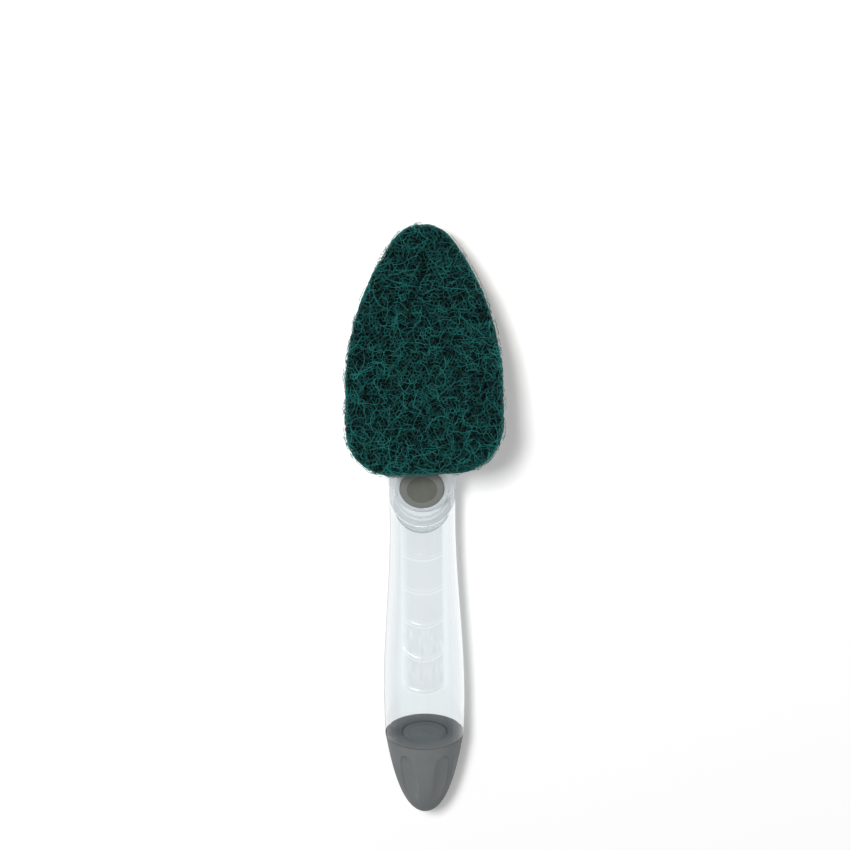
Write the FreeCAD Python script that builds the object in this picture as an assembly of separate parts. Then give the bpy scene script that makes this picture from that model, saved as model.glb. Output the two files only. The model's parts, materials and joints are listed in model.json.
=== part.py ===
import FreeCAD, Part

import math
import os

# A dish wand that holds its own soap. A clear hollow handle is the reservoir. A twist-off
# cap closes its filler mouth, a push button in the neck opens a poppet valve, and the soap
# runs through the neck's plug into a push-on head with a sponge and a scrubbing pad.
#
# Millimetres, +Z up. The wand lies on its back with the scrubbing face up. The handle's axis
# runs along Y with the head towards +Y, and the origin is below the middle of the whole wand.
#
# Everything is first built about the handle's axis: X across, Y along the axis, Z to the
# front, with Y = 0 where the axis passes behind the rear edge of the pad. The head has a
# frame of its own, tilted by HEAD_TILT, and so has the button, tilted by BUTTON_LEAN.

# Angles in degrees
HEAD_TILT = 21.0
BUTTON_LEAN = 9.0
JOINT_LEAN = 34.0

# How far cutting tools reach past the faces they cut, and the reach of cutting half spaces
OVERRUN = 1.0
REACH = 400.0

# Clearances
SLIP = 0.05
FIT = 0.15
AIR = 0.3

# Scrubbing pad: teardrop outline with its rear edge at the button
PAD_WIDTH = 60.0
PAD_LENGTH = 95.0
PAD_TIP_RADIUS = 14.0
PAD_CORNER_RADIUS = 20.0
PAD_WIDEST_AT = 31.5
PAD_THICKNESS = 9.0
PAD_FACE_BEVEL = 2.2
PAD_BACK_BEVEL = 0.8

# Sponge and head base behind the pad
SPONGE_THICKNESS = 13.0
SPONGE_INSET = 4.5
BASE_THICKNESS = 2.5
RIM_HEIGHT = 3.0
RIM_WIDTH = 2.0
TOE_REST_HALF = 9.0
TOE_FRONT_HALF = 3.6
TOE_REST_LENGTH = 5.4
TOE_BEVEL = 1.5
TOE_FLARE_SHARE = 1.4
RIB_THICKNESS = 1.6
HEAD_RISE = 42.48

# Handle: neck, belly and mouth radii, and places along the axis
NECK_RADIUS = 13.0
BELLY_RADIUS = 16.25
MOUTH_RADIUS = 15.83
HANDLE_LENGTH = 104.6
NECK_STRAIGHT = 11.4
BELLY_SETBACK = 18.2
HANDLE_WALL = 2.2
BELLY_WALL = 1.7
SPIGOT_RADIUS = 11.2
SPIGOT_LENGTH = 7.0
SPIGOT_WALL = 1.8
LIP_LENGTH = 4.0
LIP_WALL = 0.85
FLARE_STEPS = 5
ROOM_CONE_SETBACK = 39.4
ROOM_CONE_LENGTH = 28.0

# Finger panel on the front of the handle: shallow pockets between curved ribs
PANEL_WIDTH = 17.2
POCKET_COUNT = 5
POCKET_PITCH = 14.15
POCKET_DEPTH = 0.8
POCKET_RIB = 1.5
POCKET_SAG = 3.0
FIRST_RIB_SETBACK = 22.6
PANEL_GAP = 2.0

# End cap
CAP_LENGTH = 35.5
CAP_SHOULDER_REACH = 12.0
CAP_SHOULDER_RADIUS = 13.9
CAP_TIP_RADIUS = 10.0
CAP_STEPS = 8
CAP_ROOM_DEPTH = 11.0
CAP_CORE_RADIUS = 5.2
CAP_CORE_DEPTH = 7.5
THREAD_ROOM = 1.1
GASKET_THICKNESS = 1.5
GASKET_HOLE_RADIUS = 9.2
FLUTE_ANGLES = (-30, 30, 150, 210)
FLUTE_RADIUS = 12.0
FLUTE_DEPTH = 0.75
FLUTE_START_SHARE = 0.2
FLUTE_END_SHARE = 0.5
SHARE_STEP = 0.001

# Button, its boss and bezel, along the button's own axis
BUTTON_AT = 1.9
BUTTON_RADIUS = 8.5
BUTTON_TOP = 16.1
BUTTON_PROUD = 0.5
BUTTON_WALL = 2.5
BUTTON_FLANGE = 0.5
BUTTON_FLANGE_THICKNESS = 1.2
BUTTON_SKIRT = 1.9
BUTTON_SKIRT_WALL = 1.8
BUTTON_EDGE_BEVEL = 0.5
BUTTON_STROKE = 3.0
STROKE_SPARE = 0.85
INLAY_RADIUS = 5.9
INLAY_THICKNESS = 1.2
INLAY_DISH_DEPTH = 0.5
INLAY_DISH_FLOOR_RADIUS = 3.2
BEZEL_WIDTH = 1.9
BEZEL_THICKNESS = 1.4
BEZEL_BEVEL = 0.4
BOSS_WALL = 1.4
BOSS_FLARE = 2.4
BOSS_FLARE_HEIGHT = 5.0
FLOOR_THICKNESS = 1.8
SHOULDER_MARGIN = 1.5
JOINT_SETBACK = 10.5
NECK_WALL = 2.2
NECK_FRONT_BEVEL = 1.6

# Valve inside the neck
SLEEVE_RADIUS = 5.95
SLEEVE_FLANGE_THICKNESS = 1.2
SEAT_THICKNESS = 1.5
SEAT_HOLE_RADIUS = 2.8
CHAMBER_RADIUS = 4.2
CHAMBER_TOP = 2.5
STEM_RADIUS = 2.0
STEM_WAIST_RADIUS = 1.5
STEM_SOCKET_RADIUS = 4.0
STEM_GRIP = 1.0
STEM_SPARE = 0.8
DISC_RADIUS = 4.6
DISC_THICKNESS = 1.8
CLIP_RADIUS = 3.4
CLIP_THICKNESS = 0.8
CLIP_GROOVE_DEPTH = 0.5
CLIP_MOUTH = 2.0
STEM_FOOT = 0.4
STEM_RING_SIZE = 1.4
STEM_RING_SETBACK = 2.6
SLEEVE_RING_SIZE = 1.0
SLEEVE_RING_SETBACK = 0.8
RING_GROOVE_ROOM = 0.1
PORT_RADIUS = 1.5
POCKET_WALL = 1.8

# Return spring
SPRING_RADIUS = 5.0
SPRING_WIRE_RADIUS = 0.35
SPRING_TURNS = 2.5
SPRING_WIRE_SIDES = 6
SPRING_BIARCS_PER_TURN = 2
SPRING_GAP_LEAST = 0.4
SPRING_SAMPLES_PER_TURN = 48

# Plug of the neck, its nozzle, and the socket in the head base
PLUG_WIDTH = 15.0
PLUG_HEIGHT = 9.0
PLUG_LENGTH = 22.0
PLUG_ROUND = 2.5
OUTLET_RADIUS = 2.0
OUTLET_WALL = 1.8
NOZZLE_INSERT = 5.0
NOZZLE_FLANGE_RADIUS = 3.2
NOZZLE_FLANGE_THICKNESS = 1.2
NOZZLE_BEAK = 3.0
NOZZLE_BEAK_TIP = 0.9
NOZZLE_HOLE_RADIUS = 1.1
SOCKET_WALL = 1.8
SOCKET_SHELL = 2.2
SOCKET_STRAIGHT = 12.0
SOCKET_NOSE = 24.0
SOCKET_NOSE_STEPS = 5
SOCKET_END_ROOM = 0.5
FEED_ROOM = 5.5
FEED_RADIUS = 3.7
GROMMET_RADIUS = 3.0
GROMMET_HOLE_RADIUS = 1.6

V = FreeCAD.Vector
ORIGIN = V(0, 0, 0)
ACROSS = V(1, 0, 0)
ALONG = V(0, 1, 0)
UP = V(0, 0, 1)

TILT = math.radians(HEAD_TILT)

# Places along the handle's axis
BOSS_RADIUS = BUTTON_RADIUS + FIT + BEZEL_WIDTH
BORE_RADIUS = BOSS_RADIUS - BOSS_WALL
BEZEL_TOP = BUTTON_TOP - BUTTON_PROUD
BOSS_TOP = BEZEL_TOP - BEZEL_THICKNESS
SHOULDER_AT = BUTTON_AT + BOSS_RADIUS + SHOULDER_MARGIN
JOINT_AT = BUTTON_AT - JOINT_SETBACK
JOINT_FRONT_AT = JOINT_AT - NECK_RADIUS * math.tan(math.radians(JOINT_LEAN))
MOUTH_AT = JOINT_AT - HANDLE_LENGTH
BELLY_AT = MOUTH_AT + BELLY_SETBACK
PLUG_END_AT = SHOULDER_AT + PLUG_LENGTH
SPIGOT_END_AT = MOUTH_AT - SPIGOT_LENGTH
CAP_BORE_RADIUS = SPIGOT_RADIUS + THREAD_ROOM
LIP_RADIUS = NECK_RADIUS - HANDLE_WALL - SLIP

# Levels in the head's frame, from the scrubbing face at zero downwards
SPONGE_FRONT = -PAD_THICKNESS
BASE_FRONT = SPONGE_FRONT - SPONGE_THICKNESS
BASE_BACK = BASE_FRONT - BASE_THICKNESS
RIM_BACK = BASE_BACK - RIM_HEIGHT

# The scrubbing face passes HEAD_RISE from the axis at the pad's rear edge. The toe of the rim is
# cut flat at the level of the handle's belly, so that the wand lies on both. The flat starts where
# the rim's back reaches that level
TOE_AT = PAD_LENGTH - SPONGE_INSET
RIM_RISE = HEAD_RISE + RIM_BACK
TOE_REST_AT = (RIM_RISE + BELLY_RADIUS * math.cos(TILT)) / math.sin(TILT)
HEAD_FRAME = FreeCAD.Placement(
    V(0, HEAD_RISE * math.sin(TILT), HEAD_RISE * math.cos(TILT)),
    FreeCAD.Rotation(ACROSS, -HEAD_TILT),
)
BUTTON_FRAME = FreeCAD.Placement(V(0, BUTTON_AT, 0), FreeCAD.Rotation(ACROSS, BUTTON_LEAN))
JOINT_FRAME = FreeCAD.Placement(V(0, JOINT_AT, 0), FreeCAD.Rotation(ACROSS, JOINT_LEAN))

# Levels along the button's axis: from the button downwards, then from the neck's back wall up
BUTTON_ROOF = BUTTON_TOP - BUTTON_WALL
FLANGE_TOP = BOSS_TOP - SLIP
FLANGE_BOTTOM = FLANGE_TOP - BUTTON_FLANGE_THICKNESS
SKIRT_BOTTOM = FLANGE_BOTTOM - BUTTON_SKIRT
SLEEVE_TOP = SKIRT_BOTTOM - BUTTON_STROKE - STROKE_SPARE
BORE_FLOOR = SLEEVE_TOP - SLEEVE_FLANGE_THICKNESS
STEM_BOTTOM = NECK_WALL - NECK_RADIUS + STEM_SPARE + BUTTON_STROKE
CLIP_BOTTOM = STEM_BOTTOM + STEM_FOOT
DISC_BOTTOM = CLIP_BOTTOM + CLIP_THICKNESS
SLEEVE_BOTTOM = DISC_BOTTOM + DISC_THICKNESS
STEM_TOP = BUTTON_TOP - INLAY_THICKNESS - STEM_GRIP
STEM_RING_AT = SLEEVE_TOP - STEM_RING_SETBACK
SLEEVE_RING_AT = SLEEVE_BOTTOM + SLEEVE_RING_SETBACK


def placed(shape, frame):
    """Copy a shape from its own frame into the frame of the handle's axis."""
    moved = shape.copy()
    moved.Placement = frame.multiply(moved.Placement)
    return moved


def line(start, end):
    return Part.makeLine(start, end)


def turned_along(stations):
    """Solid of revolution about the handle's axis from the (place, radius) corners of a profile."""
    points = [V(0, place, radius) for place, radius in stations]
    return Part.Face(Part.makePolygon(points + points[:1])).revolve(ORIGIN, ALONG, 360)


def turned_up(levels):
    """Solid of revolution about Z from the (radius, height) corners of a closed profile."""
    points = [V(radius, 0, height) for radius, height in levels]
    return Part.Face(Part.makePolygon(points + points[:1])).revolve(ORIGIN, UP, 360)


def ring_up(inner, outer, bottom, top):
    return turned_up([(inner, bottom), (outer, bottom), (outer, top), (inner, top)])


def rod_up(radius, bottom, top):
    return Part.makeCylinder(radius, top - bottom, V(0, 0, bottom))


def rod_along(radius, start, end):
    return Part.makeCylinder(radius, end - start, V(0, start, 0), ALONG)


def block(x_half, y_from, y_to, z_from, z_to):
    return Part.makeBox(2 * x_half, y_to - y_from, z_to - z_from, V(-x_half, y_from, z_from))


def rounded_bar(width, height, radius, start, end):
    """Bar along the handle's axis with rounded long edges."""
    bar = block(width / 2, start, end, -height / 2, height / 2)
    long_edges = [e for e in bar.Edges if abs(e.tangentAt(e.FirstParameter).dot(ALONG)) > 0.5]
    return bar.makeFillet(radius, long_edges)


# Head

def pad_outline(inset, height):
    """Teardrop outline of the pad, moved inwards by an inset, at a height in the head's frame."""
    half = PAD_WIDTH / 2
    tip_centre = PAD_LENGTH - PAD_TIP_RADIUS
    rise = tip_centre - PAD_WIDEST_AT
    side_radius = (rise**2 + half**2 - PAD_TIP_RADIUS**2) / (2 * (half - PAD_TIP_RADIUS))
    side_centre = half - side_radius
    meet = math.atan2(rise, -side_centre)
    tip_radius = PAD_TIP_RADIUS - inset
    corner_radius = PAD_CORNER_RADIUS - inset
    flank_radius = side_radius - inset

    def on_circle(cx, cy, radius, angle):
        return V(cx + radius * math.cos(angle), cy + radius * math.sin(angle), height)

    def mirrored(point):
        return V(-point.x, point.y, point.z)

    corner_x = half - PAD_CORNER_RADIUS
    rear_right = V(corner_x, inset, height)
    corner_mid = on_circle(corner_x, PAD_CORNER_RADIUS, corner_radius, -math.pi / 4)
    corner_end = V(half - inset, PAD_CORNER_RADIUS, height)
    flank_start = V(half - inset, PAD_WIDEST_AT, height)
    flank_mid = on_circle(side_centre, PAD_WIDEST_AT, flank_radius, meet / 2)
    flank_end = on_circle(side_centre, PAD_WIDEST_AT, flank_radius, meet)
    tip = V(0, PAD_LENGTH - inset, height)
    edges = [
        line(mirrored(rear_right), rear_right),
        Part.Arc(rear_right, corner_mid, corner_end).toShape(),
        line(corner_end, flank_start),
        Part.Arc(flank_start, flank_mid, flank_end).toShape(),
        Part.Arc(flank_end, tip, mirrored(flank_end)).toShape(),
        Part.Arc(mirrored(flank_end), mirrored(flank_mid), mirrored(flank_start)).toShape(),
        line(mirrored(flank_start), mirrored(corner_end)),
        Part.Arc(mirrored(corner_end), mirrored(corner_mid), mirrored(rear_right)).toShape(),
    ]
    return Part.Wire(edges)


def pad_slab(inset, bottom, top):
    return Part.Face(pad_outline(inset, bottom)).extrude(V(0, 0, top - bottom))


def edges_at(shape, height):
    """Edges of a slab that lie in the plane at a height."""
    return [
        e for e in shape.Edges
        if all(abs(v.Z - height) < SLIP for v in e.Vertexes)
    ]


def scrub_pad():
    slab = pad_slab(0, SPONGE_FRONT, 0)
    slab = slab.makeChamfer(PAD_FACE_BEVEL, edges_at(slab, 0))
    slab = slab.makeChamfer(PAD_BACK_BEVEL, edges_at(slab, SPONGE_FRONT))
    return placed(slab, HEAD_FRAME)


def sponge_core():
    return placed(pad_slab(SPONGE_INSET, BASE_FRONT, SPONGE_FRONT), HEAD_FRAME)


def socket_nose(start):
    """Bullet shape along the handle's axis: a straight part and an elliptical nose."""
    nose_start = SHOULDER_AT + SOCKET_STRAIGHT
    stations = [(start, 0), (start, NECK_RADIUS)]
    for i in range(SOCKET_NOSE_STEPS + 1):
        angle = math.pi / 2 * i / SOCKET_NOSE_STEPS
        place = nose_start + SOCKET_NOSE * math.sin(angle)
        stations.append((place, NECK_RADIUS * math.cos(angle)))
    return turned_along(stations)


def head_base():
    """Plate with a stiff rim and spine behind, and a bullet-shaped socket for the plug."""
    plate = pad_slab(SPONGE_INSET, BASE_BACK, BASE_FRONT)
    rim = pad_slab(SPONGE_INSET, RIM_BACK, BASE_BACK).cut(
        pad_slab(SPONGE_INSET + RIM_WIDTH, RIM_BACK - OVERRUN, BASE_BACK + OVERRUN)
    )
    rear_gap = block(NECK_RADIUS + RIM_WIDTH, 0, PAD_CORNER_RADIUS, RIM_BACK, BASE_BACK)
    spine = block(RIB_THICKNESS / 2, PAD_WIDEST_AT, TOE_AT, RIM_BACK, BASE_BACK)
    spine = spine.common(pad_slab(SPONGE_INSET + RIM_WIDTH / 2, RIM_BACK, BASE_BACK))
    cross = block(PAD_WIDTH, PAD_WIDEST_AT, PAD_WIDEST_AT + RIB_THICKNESS, RIM_BACK, BASE_BACK)
    cross = cross.common(pad_slab(SPONGE_INSET + RIM_WIDTH / 2, RIM_BACK, BASE_BACK))
    flat = placed(plate.multiFuse([rim.cut(rear_gap), spine, cross]), HEAD_FRAME)

    mouth = SHOULDER_AT + AIR
    outer = socket_nose(mouth)
    hollow_end = SHOULDER_AT + SOCKET_STRAIGHT
    hollow = rod_along(NECK_RADIUS - SOCKET_SHELL, mouth - OVERRUN, hollow_end)
    pocket_width = PLUG_WIDTH + 2 * FIT
    pocket_height = PLUG_HEIGHT + 2 * FIT
    pocket_end = PLUG_END_AT + SOCKET_END_ROOM
    tube = rounded_bar(
        pocket_width + 2 * SOCKET_WALL,
        pocket_height + 2 * SOCKET_WALL,
        PLUG_ROUND + SOCKET_WALL,
        mouth,
        pocket_end + FEED_ROOM + SOCKET_WALL,
    ).common(outer)
    behind_plate = placed(block(PAD_WIDTH, -REACH, REACH, -REACH, BASE_FRONT), HEAD_FRAME)
    front_room = placed(block(PAD_WIDTH, -REACH, REACH, BASE_BACK, REACH), HEAD_FRAME)
    socket = outer.cut(hollow.cut(front_room)).fuse(tube).common(behind_plate)
    base = flat.fuse(socket)

    plug_room = rounded_bar(pocket_width, pocket_height, PLUG_ROUND, mouth - OVERRUN, pocket_end)
    feed_room = rod_along(FEED_RADIUS, pocket_end - OVERRUN, pocket_end + FEED_ROOM)
    base = base.cut(plug_room).cut(feed_room).cut(grommet_hole(GROMMET_RADIUS)).cut(below_toe())
    return base.removeSplitter()


def toe_outline(level, share):
    """Straight-sided outline round the toe's flat rest, widened by a share."""
    rear = [V(side * TOE_REST_HALF * share, TOE_REST_AT, level) for side in (-1, 1)]
    front_at = TOE_REST_AT + TOE_REST_LENGTH * share
    front = [V(side * TOE_FRONT_HALF * share, front_at, level) for side in (1, -1)]
    back = [V(corner.x, -REACH, level) for corner in reversed(rear)]
    return Part.makePolygon([back[1], rear[0], front[1], front[0], rear[1], back[0], back[1]])


def below_toe():
    """All that lies under the toe's flat rest and its bevelled edges."""
    top = TOE_BEVEL - BELLY_RADIUS
    outlines = [toe_outline(-BELLY_RADIUS, 1), toe_outline(top, TOE_FLARE_SHARE)]
    return block(PAD_WIDTH, -REACH, REACH, -REACH, top).cut(Part.makeLoft(outlines, True, True))


def grommet_hole(radius):
    """Straight hole through the plate from the feed room to the sponge."""
    middle = PLUG_END_AT + SOCKET_END_ROOM + FEED_ROOM / 2
    centre = HEAD_FRAME.inverse().multVec(V(0, middle, 0))
    hole = rod_up(radius, BASE_BACK - FEED_RADIUS, BASE_FRONT + OVERRUN)
    hole.translate(V(0, centre.y, 0))
    return placed(hole, HEAD_FRAME)


def feed_grommet():
    """Soft ring in the plate's hole, flush with the plate on the sponge's side."""
    hollow = grommet_hole(GROMMET_HOLE_RADIUS)
    room = rod_along(FEED_RADIUS, PLUG_END_AT, PLUG_END_AT + REACH)
    level = placed(block(PAD_WIDTH, -REACH, REACH, BASE_BACK, BASE_FRONT), HEAD_FRAME)
    return grommet_hole(GROMMET_RADIUS - SLIP).cut(hollow).common(level).cut(room)


# Handle and cap

def handle_radius(place):
    """Outer radius of the handle: straight neck, smooth flare to the belly, and a round tail."""
    neck_end = JOINT_AT - NECK_STRAIGHT
    if place >= neck_end:
        return NECK_RADIUS
    if place >= BELLY_AT:
        share = (neck_end - place) / (neck_end - BELLY_AT)
        return NECK_RADIUS + (BELLY_RADIUS - NECK_RADIUS) * share**2 * (3 - 2 * share)
    share = (BELLY_AT - place) / BELLY_SETBACK
    return BELLY_RADIUS - (BELLY_RADIUS - MOUTH_RADIUS) * share**2


def handle_core(inset):
    """Solid at an inset inside the handle's outline, with the filler spigot beyond the mouth."""
    neck_end = JOINT_AT - NECK_STRAIGHT
    places = [SHOULDER_AT]
    places += [neck_end + (BELLY_AT - neck_end) * i / FLARE_STEPS for i in range(FLARE_STEPS + 1)]
    places += [MOUTH_AT]
    stations = [(place, handle_radius(place) - inset) for place in places]
    foot = [(MOUTH_AT, SPIGOT_RADIUS), (SPIGOT_END_AT, SPIGOT_RADIUS), (SPIGOT_END_AT, 0)]
    return turned_along([(SHOULDER_AT, 0)] + stations + foot)


def handle_room():
    """Soap space: a narrow and a wide bore joined by a long cone, and the bore of the spigot."""
    narrow = NECK_RADIUS - HANDLE_WALL
    wide = MOUTH_RADIUS - BELLY_WALL
    mouth = SPIGOT_RADIUS - SPIGOT_WALL
    cone_at = JOINT_AT - ROOM_CONE_SETBACK
    return turned_along([
        (SHOULDER_AT, 0),
        (SHOULDER_AT, narrow),
        (cone_at, narrow),
        (cone_at - ROOM_CONE_LENGTH, wide),
        (MOUTH_AT + HANDLE_WALL, wide),
        (MOUTH_AT + HANDLE_WALL, mouth),
        (SPIGOT_END_AT - OVERRUN, mouth),
        (SPIGOT_END_AT - OVERRUN, 0),
    ])


def joint_half(offset):
    """Half space on the head's side of the slanted joint between handle and neck."""
    half = block(REACH, 0, REACH, -REACH, REACH)
    half.translate(V(0, offset, 0))
    return placed(half, JOINT_FRAME)


def pocket_prism(top, bottom):
    """Upright prism of one finger pocket: straight sides, and ends curved towards the cap."""
    half = PANEL_WIDTH / 2
    lift = V(0, POCKET_SAG, 0)
    top_mid = V(0, top, 0)
    bottom_mid = V(0, bottom, 0)
    across = V(half, 0, 0)
    top_arc = Part.Arc(top_mid - across + lift, top_mid, top_mid + across + lift).toShape()
    bottom_arc = Part.Arc(
        bottom_mid + across + lift, bottom_mid, bottom_mid - across + lift
    ).toShape()
    sides = [
        line(top_mid + across + lift, bottom_mid + across + lift),
        line(bottom_mid - across + lift, top_mid - across + lift),
    ]
    outline = Part.Wire([top_arc, sides[0], bottom_arc, sides[1]])
    return Part.Face(outline).extrude(V(0, 0, BELLY_RADIUS + OVERRUN))


def handle_shell():
    """Clear reservoir: neck end cut on a slant, finger pockets, and a filler spigot."""
    shell = handle_core(0).cut(handle_room()).cut(joint_half(0))
    core = handle_core(POCKET_DEPTH)
    first_rib = JOINT_AT - FIRST_RIB_SETBACK
    top = JOINT_FRONT_AT - PANEL_GAP - POCKET_SAG
    for i in range(POCKET_COUNT):
        rib = first_rib - i * POCKET_PITCH
        shell = shell.cut(pocket_prism(top, rib + POCKET_RIB / 2).cut(core))
        top = rib - POCKET_RIB / 2
    return shell


def cap_outline(share):
    """Point of the cap's outline as (place, radius), at a share along a curve from the mouth."""
    poles = [
        (0, MOUTH_RADIUS),
        (CAP_SHOULDER_REACH, CAP_SHOULDER_RADIUS),
        (CAP_LENGTH, CAP_TIP_RADIUS),
        (CAP_LENGTH, 0),
    ]
    rest = 1 - share
    weights = (rest**3, 3 * rest**2 * share, 3 * rest * share**2, share**3)
    reach = sum(w * p[0] for w, p in zip(weights, poles))
    radius = sum(w * p[1] for w, p in zip(weights, poles))
    return MOUTH_AT - reach, radius


def cap_point(share, rise):
    """Point at a height over the cap's outline on the front, at a share along its curve."""
    place, radius = cap_outline(share)
    ahead = V(0, *cap_outline(share + SHARE_STEP))
    tangent = (ahead - V(0, place, radius)).normalize()
    return V(0, place, radius) + V(0, tangent.z, -tangent.y) * rise


def end_cap():
    """Hollow rounded cap with a bore, a ledge for the gasket, and finger flutes front and back."""
    outline = [cap_outline(i / CAP_STEPS) for i in range(CAP_STEPS + 1)]
    ledge = SPIGOT_END_AT - GASKET_THICKNESS
    room_end = ledge - CAP_ROOM_DEPTH
    cap = turned_along([(MOUTH_AT, 0)] + outline)
    cap = cap.cut(rod_along(CAP_BORE_RADIUS, ledge, MOUTH_AT + OVERRUN))
    cap = cap.cut(rod_along(GASKET_HOLE_RADIUS, room_end, MOUTH_AT))
    cap = cap.cut(rod_along(CAP_CORE_RADIUS, room_end - CAP_CORE_DEPTH, MOUTH_AT))
    deep = cap_point(FLUTE_START_SHARE, FLUTE_RADIUS - FLUTE_DEPTH)
    ahead = cap_point(FLUTE_END_SHARE, FLUTE_RADIUS - FLUTE_DEPTH)
    scoop = Part.makeCylinder(FLUTE_RADIUS, CAP_LENGTH, deep, ahead - deep)
    scoop = scoop.fuse(Part.makeSphere(FLUTE_RADIUS, deep))
    for angle in FLUTE_ANGLES:
        cutter = scoop.copy()
        cutter.rotate(ORIGIN, ALONG, angle)
        cap = cap.cut(cutter)
    return cap


def cap_gasket():
    """Flat seal between the end of the spigot and the ledge in the cap."""
    bottom = SPIGOT_END_AT - GASKET_THICKNESS
    disc = rod_along(CAP_BORE_RADIUS - FIT, bottom, SPIGOT_END_AT)
    return disc.cut(rod_along(GASKET_HOLE_RADIUS, bottom - OVERRUN, SPIGOT_END_AT + OVERRUN))


# Neck

def neck_boss():
    """Round boss for the button with a flared foot."""
    foot = BOSS_TOP - BOSS_FLARE_HEIGHT
    flare = Part.makeCone(BOSS_RADIUS + BOSS_FLARE, BOSS_RADIUS, BOSS_FLARE_HEIGHT, V(0, 0, foot))
    return placed(rod_up(BOSS_RADIUS, 0, BOSS_TOP).fuse(flare), BUTTON_FRAME)


def neck_room():
    """Soap space in the neck, around the valve pocket and the outlet passage."""
    front = SHOULDER_AT - HANDLE_WALL
    wide = rod_along(NECK_RADIUS - NECK_WALL, MOUTH_AT, front).common(joint_half(LIP_WALL))
    narrow = rod_along(LIP_RADIUS - LIP_WALL, MOUTH_AT, front)
    bore_block = placed(rod_up(BOSS_RADIUS, BORE_FLOOR - FLOOR_THICKNESS, REACH), BUTTON_FRAME)
    pocket = placed(rod_up(SLEEVE_RADIUS + POCKET_WALL, SLEEVE_BOTTOM, REACH), BUTTON_FRAME)
    passage = rod_along(OUTLET_RADIUS + OUTLET_WALL, BUTTON_AT, SHOULDER_AT)
    return wide.fuse(narrow).cut(bore_block).cut(pocket).cut(passage)


def neck_housing():
    """Clear neck with the button's boss, the valve pocket and the plug for the head."""
    body = rod_along(NECK_RADIUS, MOUTH_AT, SHOULDER_AT)
    front = [e for e in body.Edges if abs(e.CenterOfMass.y - SHOULDER_AT) < SLIP]
    body = body.makeChamfer(NECK_FRONT_BEVEL, front)
    plug = rounded_bar(PLUG_WIDTH, PLUG_HEIGHT, PLUG_ROUND, SHOULDER_AT - HANDLE_WALL, PLUG_END_AT)
    neck = body.fuse(neck_boss()).common(joint_half(0))
    lip = rod_along(LIP_RADIUS, MOUTH_AT, SHOULDER_AT - HANDLE_WALL)
    lip = lip.common(joint_half(-LIP_LENGTH)).cut(joint_half(LIP_WALL))
    neck = neck.fuse(lip).cut(neck_room()).fuse(plug)

    bore = placed(rod_up(BORE_RADIUS, BORE_FLOOR, BOSS_TOP + OVERRUN), BUTTON_FRAME)
    pocket = placed(
        rod_up(SLEEVE_RADIUS + SLIP, SLEEVE_BOTTOM - OVERRUN, BORE_FLOOR + OVERRUN), BUTTON_FRAME
    )
    bezel_seat = placed(rod_up(BOSS_RADIUS + FIT, BOSS_TOP, BEZEL_TOP + OVERRUN), BUTTON_FRAME)
    outlet = rod_along(OUTLET_RADIUS, BUTTON_AT, PLUG_END_AT + OVERRUN)
    return neck.cut(bore).cut(pocket).cut(bezel_seat).cut(outlet).removeSplitter()


def top_edges(shape, height, least_radius):
    """Round edges at a height along the button's axis that are wider than a radius."""
    return [
        e for e in shape.Edges
        if abs(e.CenterOfMass.z - height) < SLIP and e.Length > 2 * math.pi * least_radius
    ]


def button_bezel():
    """Ring on the boss that keeps the button's flange in."""
    ring = ring_up(BUTTON_RADIUS + FIT, BOSS_RADIUS, BOSS_TOP, BEZEL_TOP)
    rim = top_edges(ring, BEZEL_TOP, BUTTON_RADIUS + BEZEL_WIDTH / 2)
    return placed(ring.makeChamfer(BEZEL_BEVEL, rim), BUTTON_FRAME)


def button_cap():
    """Push button with a flange under the bezel, a skirt, and a socket for the stem."""
    flange = BUTTON_RADIUS + BUTTON_FLANGE
    body = turned_up([
        (0, BUTTON_ROOF),
        (flange - BUTTON_SKIRT_WALL, BUTTON_ROOF),
        (flange - BUTTON_SKIRT_WALL, SKIRT_BOTTOM),
        (flange, SKIRT_BOTTOM),
        (flange, FLANGE_TOP),
        (BUTTON_RADIUS, FLANGE_TOP),
        (BUTTON_RADIUS, BUTTON_TOP),
        (0, BUTTON_TOP),
    ])
    body = body.makeChamfer(BUTTON_EDGE_BEVEL, top_edges(body, BUTTON_TOP, INLAY_RADIUS))
    socket = rod_up(STEM_SOCKET_RADIUS, SKIRT_BOTTOM, BUTTON_TOP - INLAY_THICKNESS)
    seat = rod_up(INLAY_RADIUS, BUTTON_TOP - INLAY_THICKNESS, BUTTON_TOP + OVERRUN)
    stem_hole = rod_up(STEM_RADIUS + SLIP, 0, STEM_TOP + SLIP)
    return placed(body.fuse(socket).cut(seat).cut(stem_hole), BUTTON_FRAME)


def button_inlay():
    """Dished finger rest let into the button."""
    edge = INLAY_RADIUS - SLIP
    disc = turned_up([
        (0, BUTTON_TOP - INLAY_THICKNESS),
        (edge, BUTTON_TOP - INLAY_THICKNESS),
        (edge, BUTTON_TOP),
        (INLAY_DISH_FLOOR_RADIUS, BUTTON_TOP - INLAY_DISH_DEPTH),
        (0, BUTTON_TOP - INLAY_DISH_DEPTH),
    ])
    return placed(disc, BUTTON_FRAME)


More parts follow.
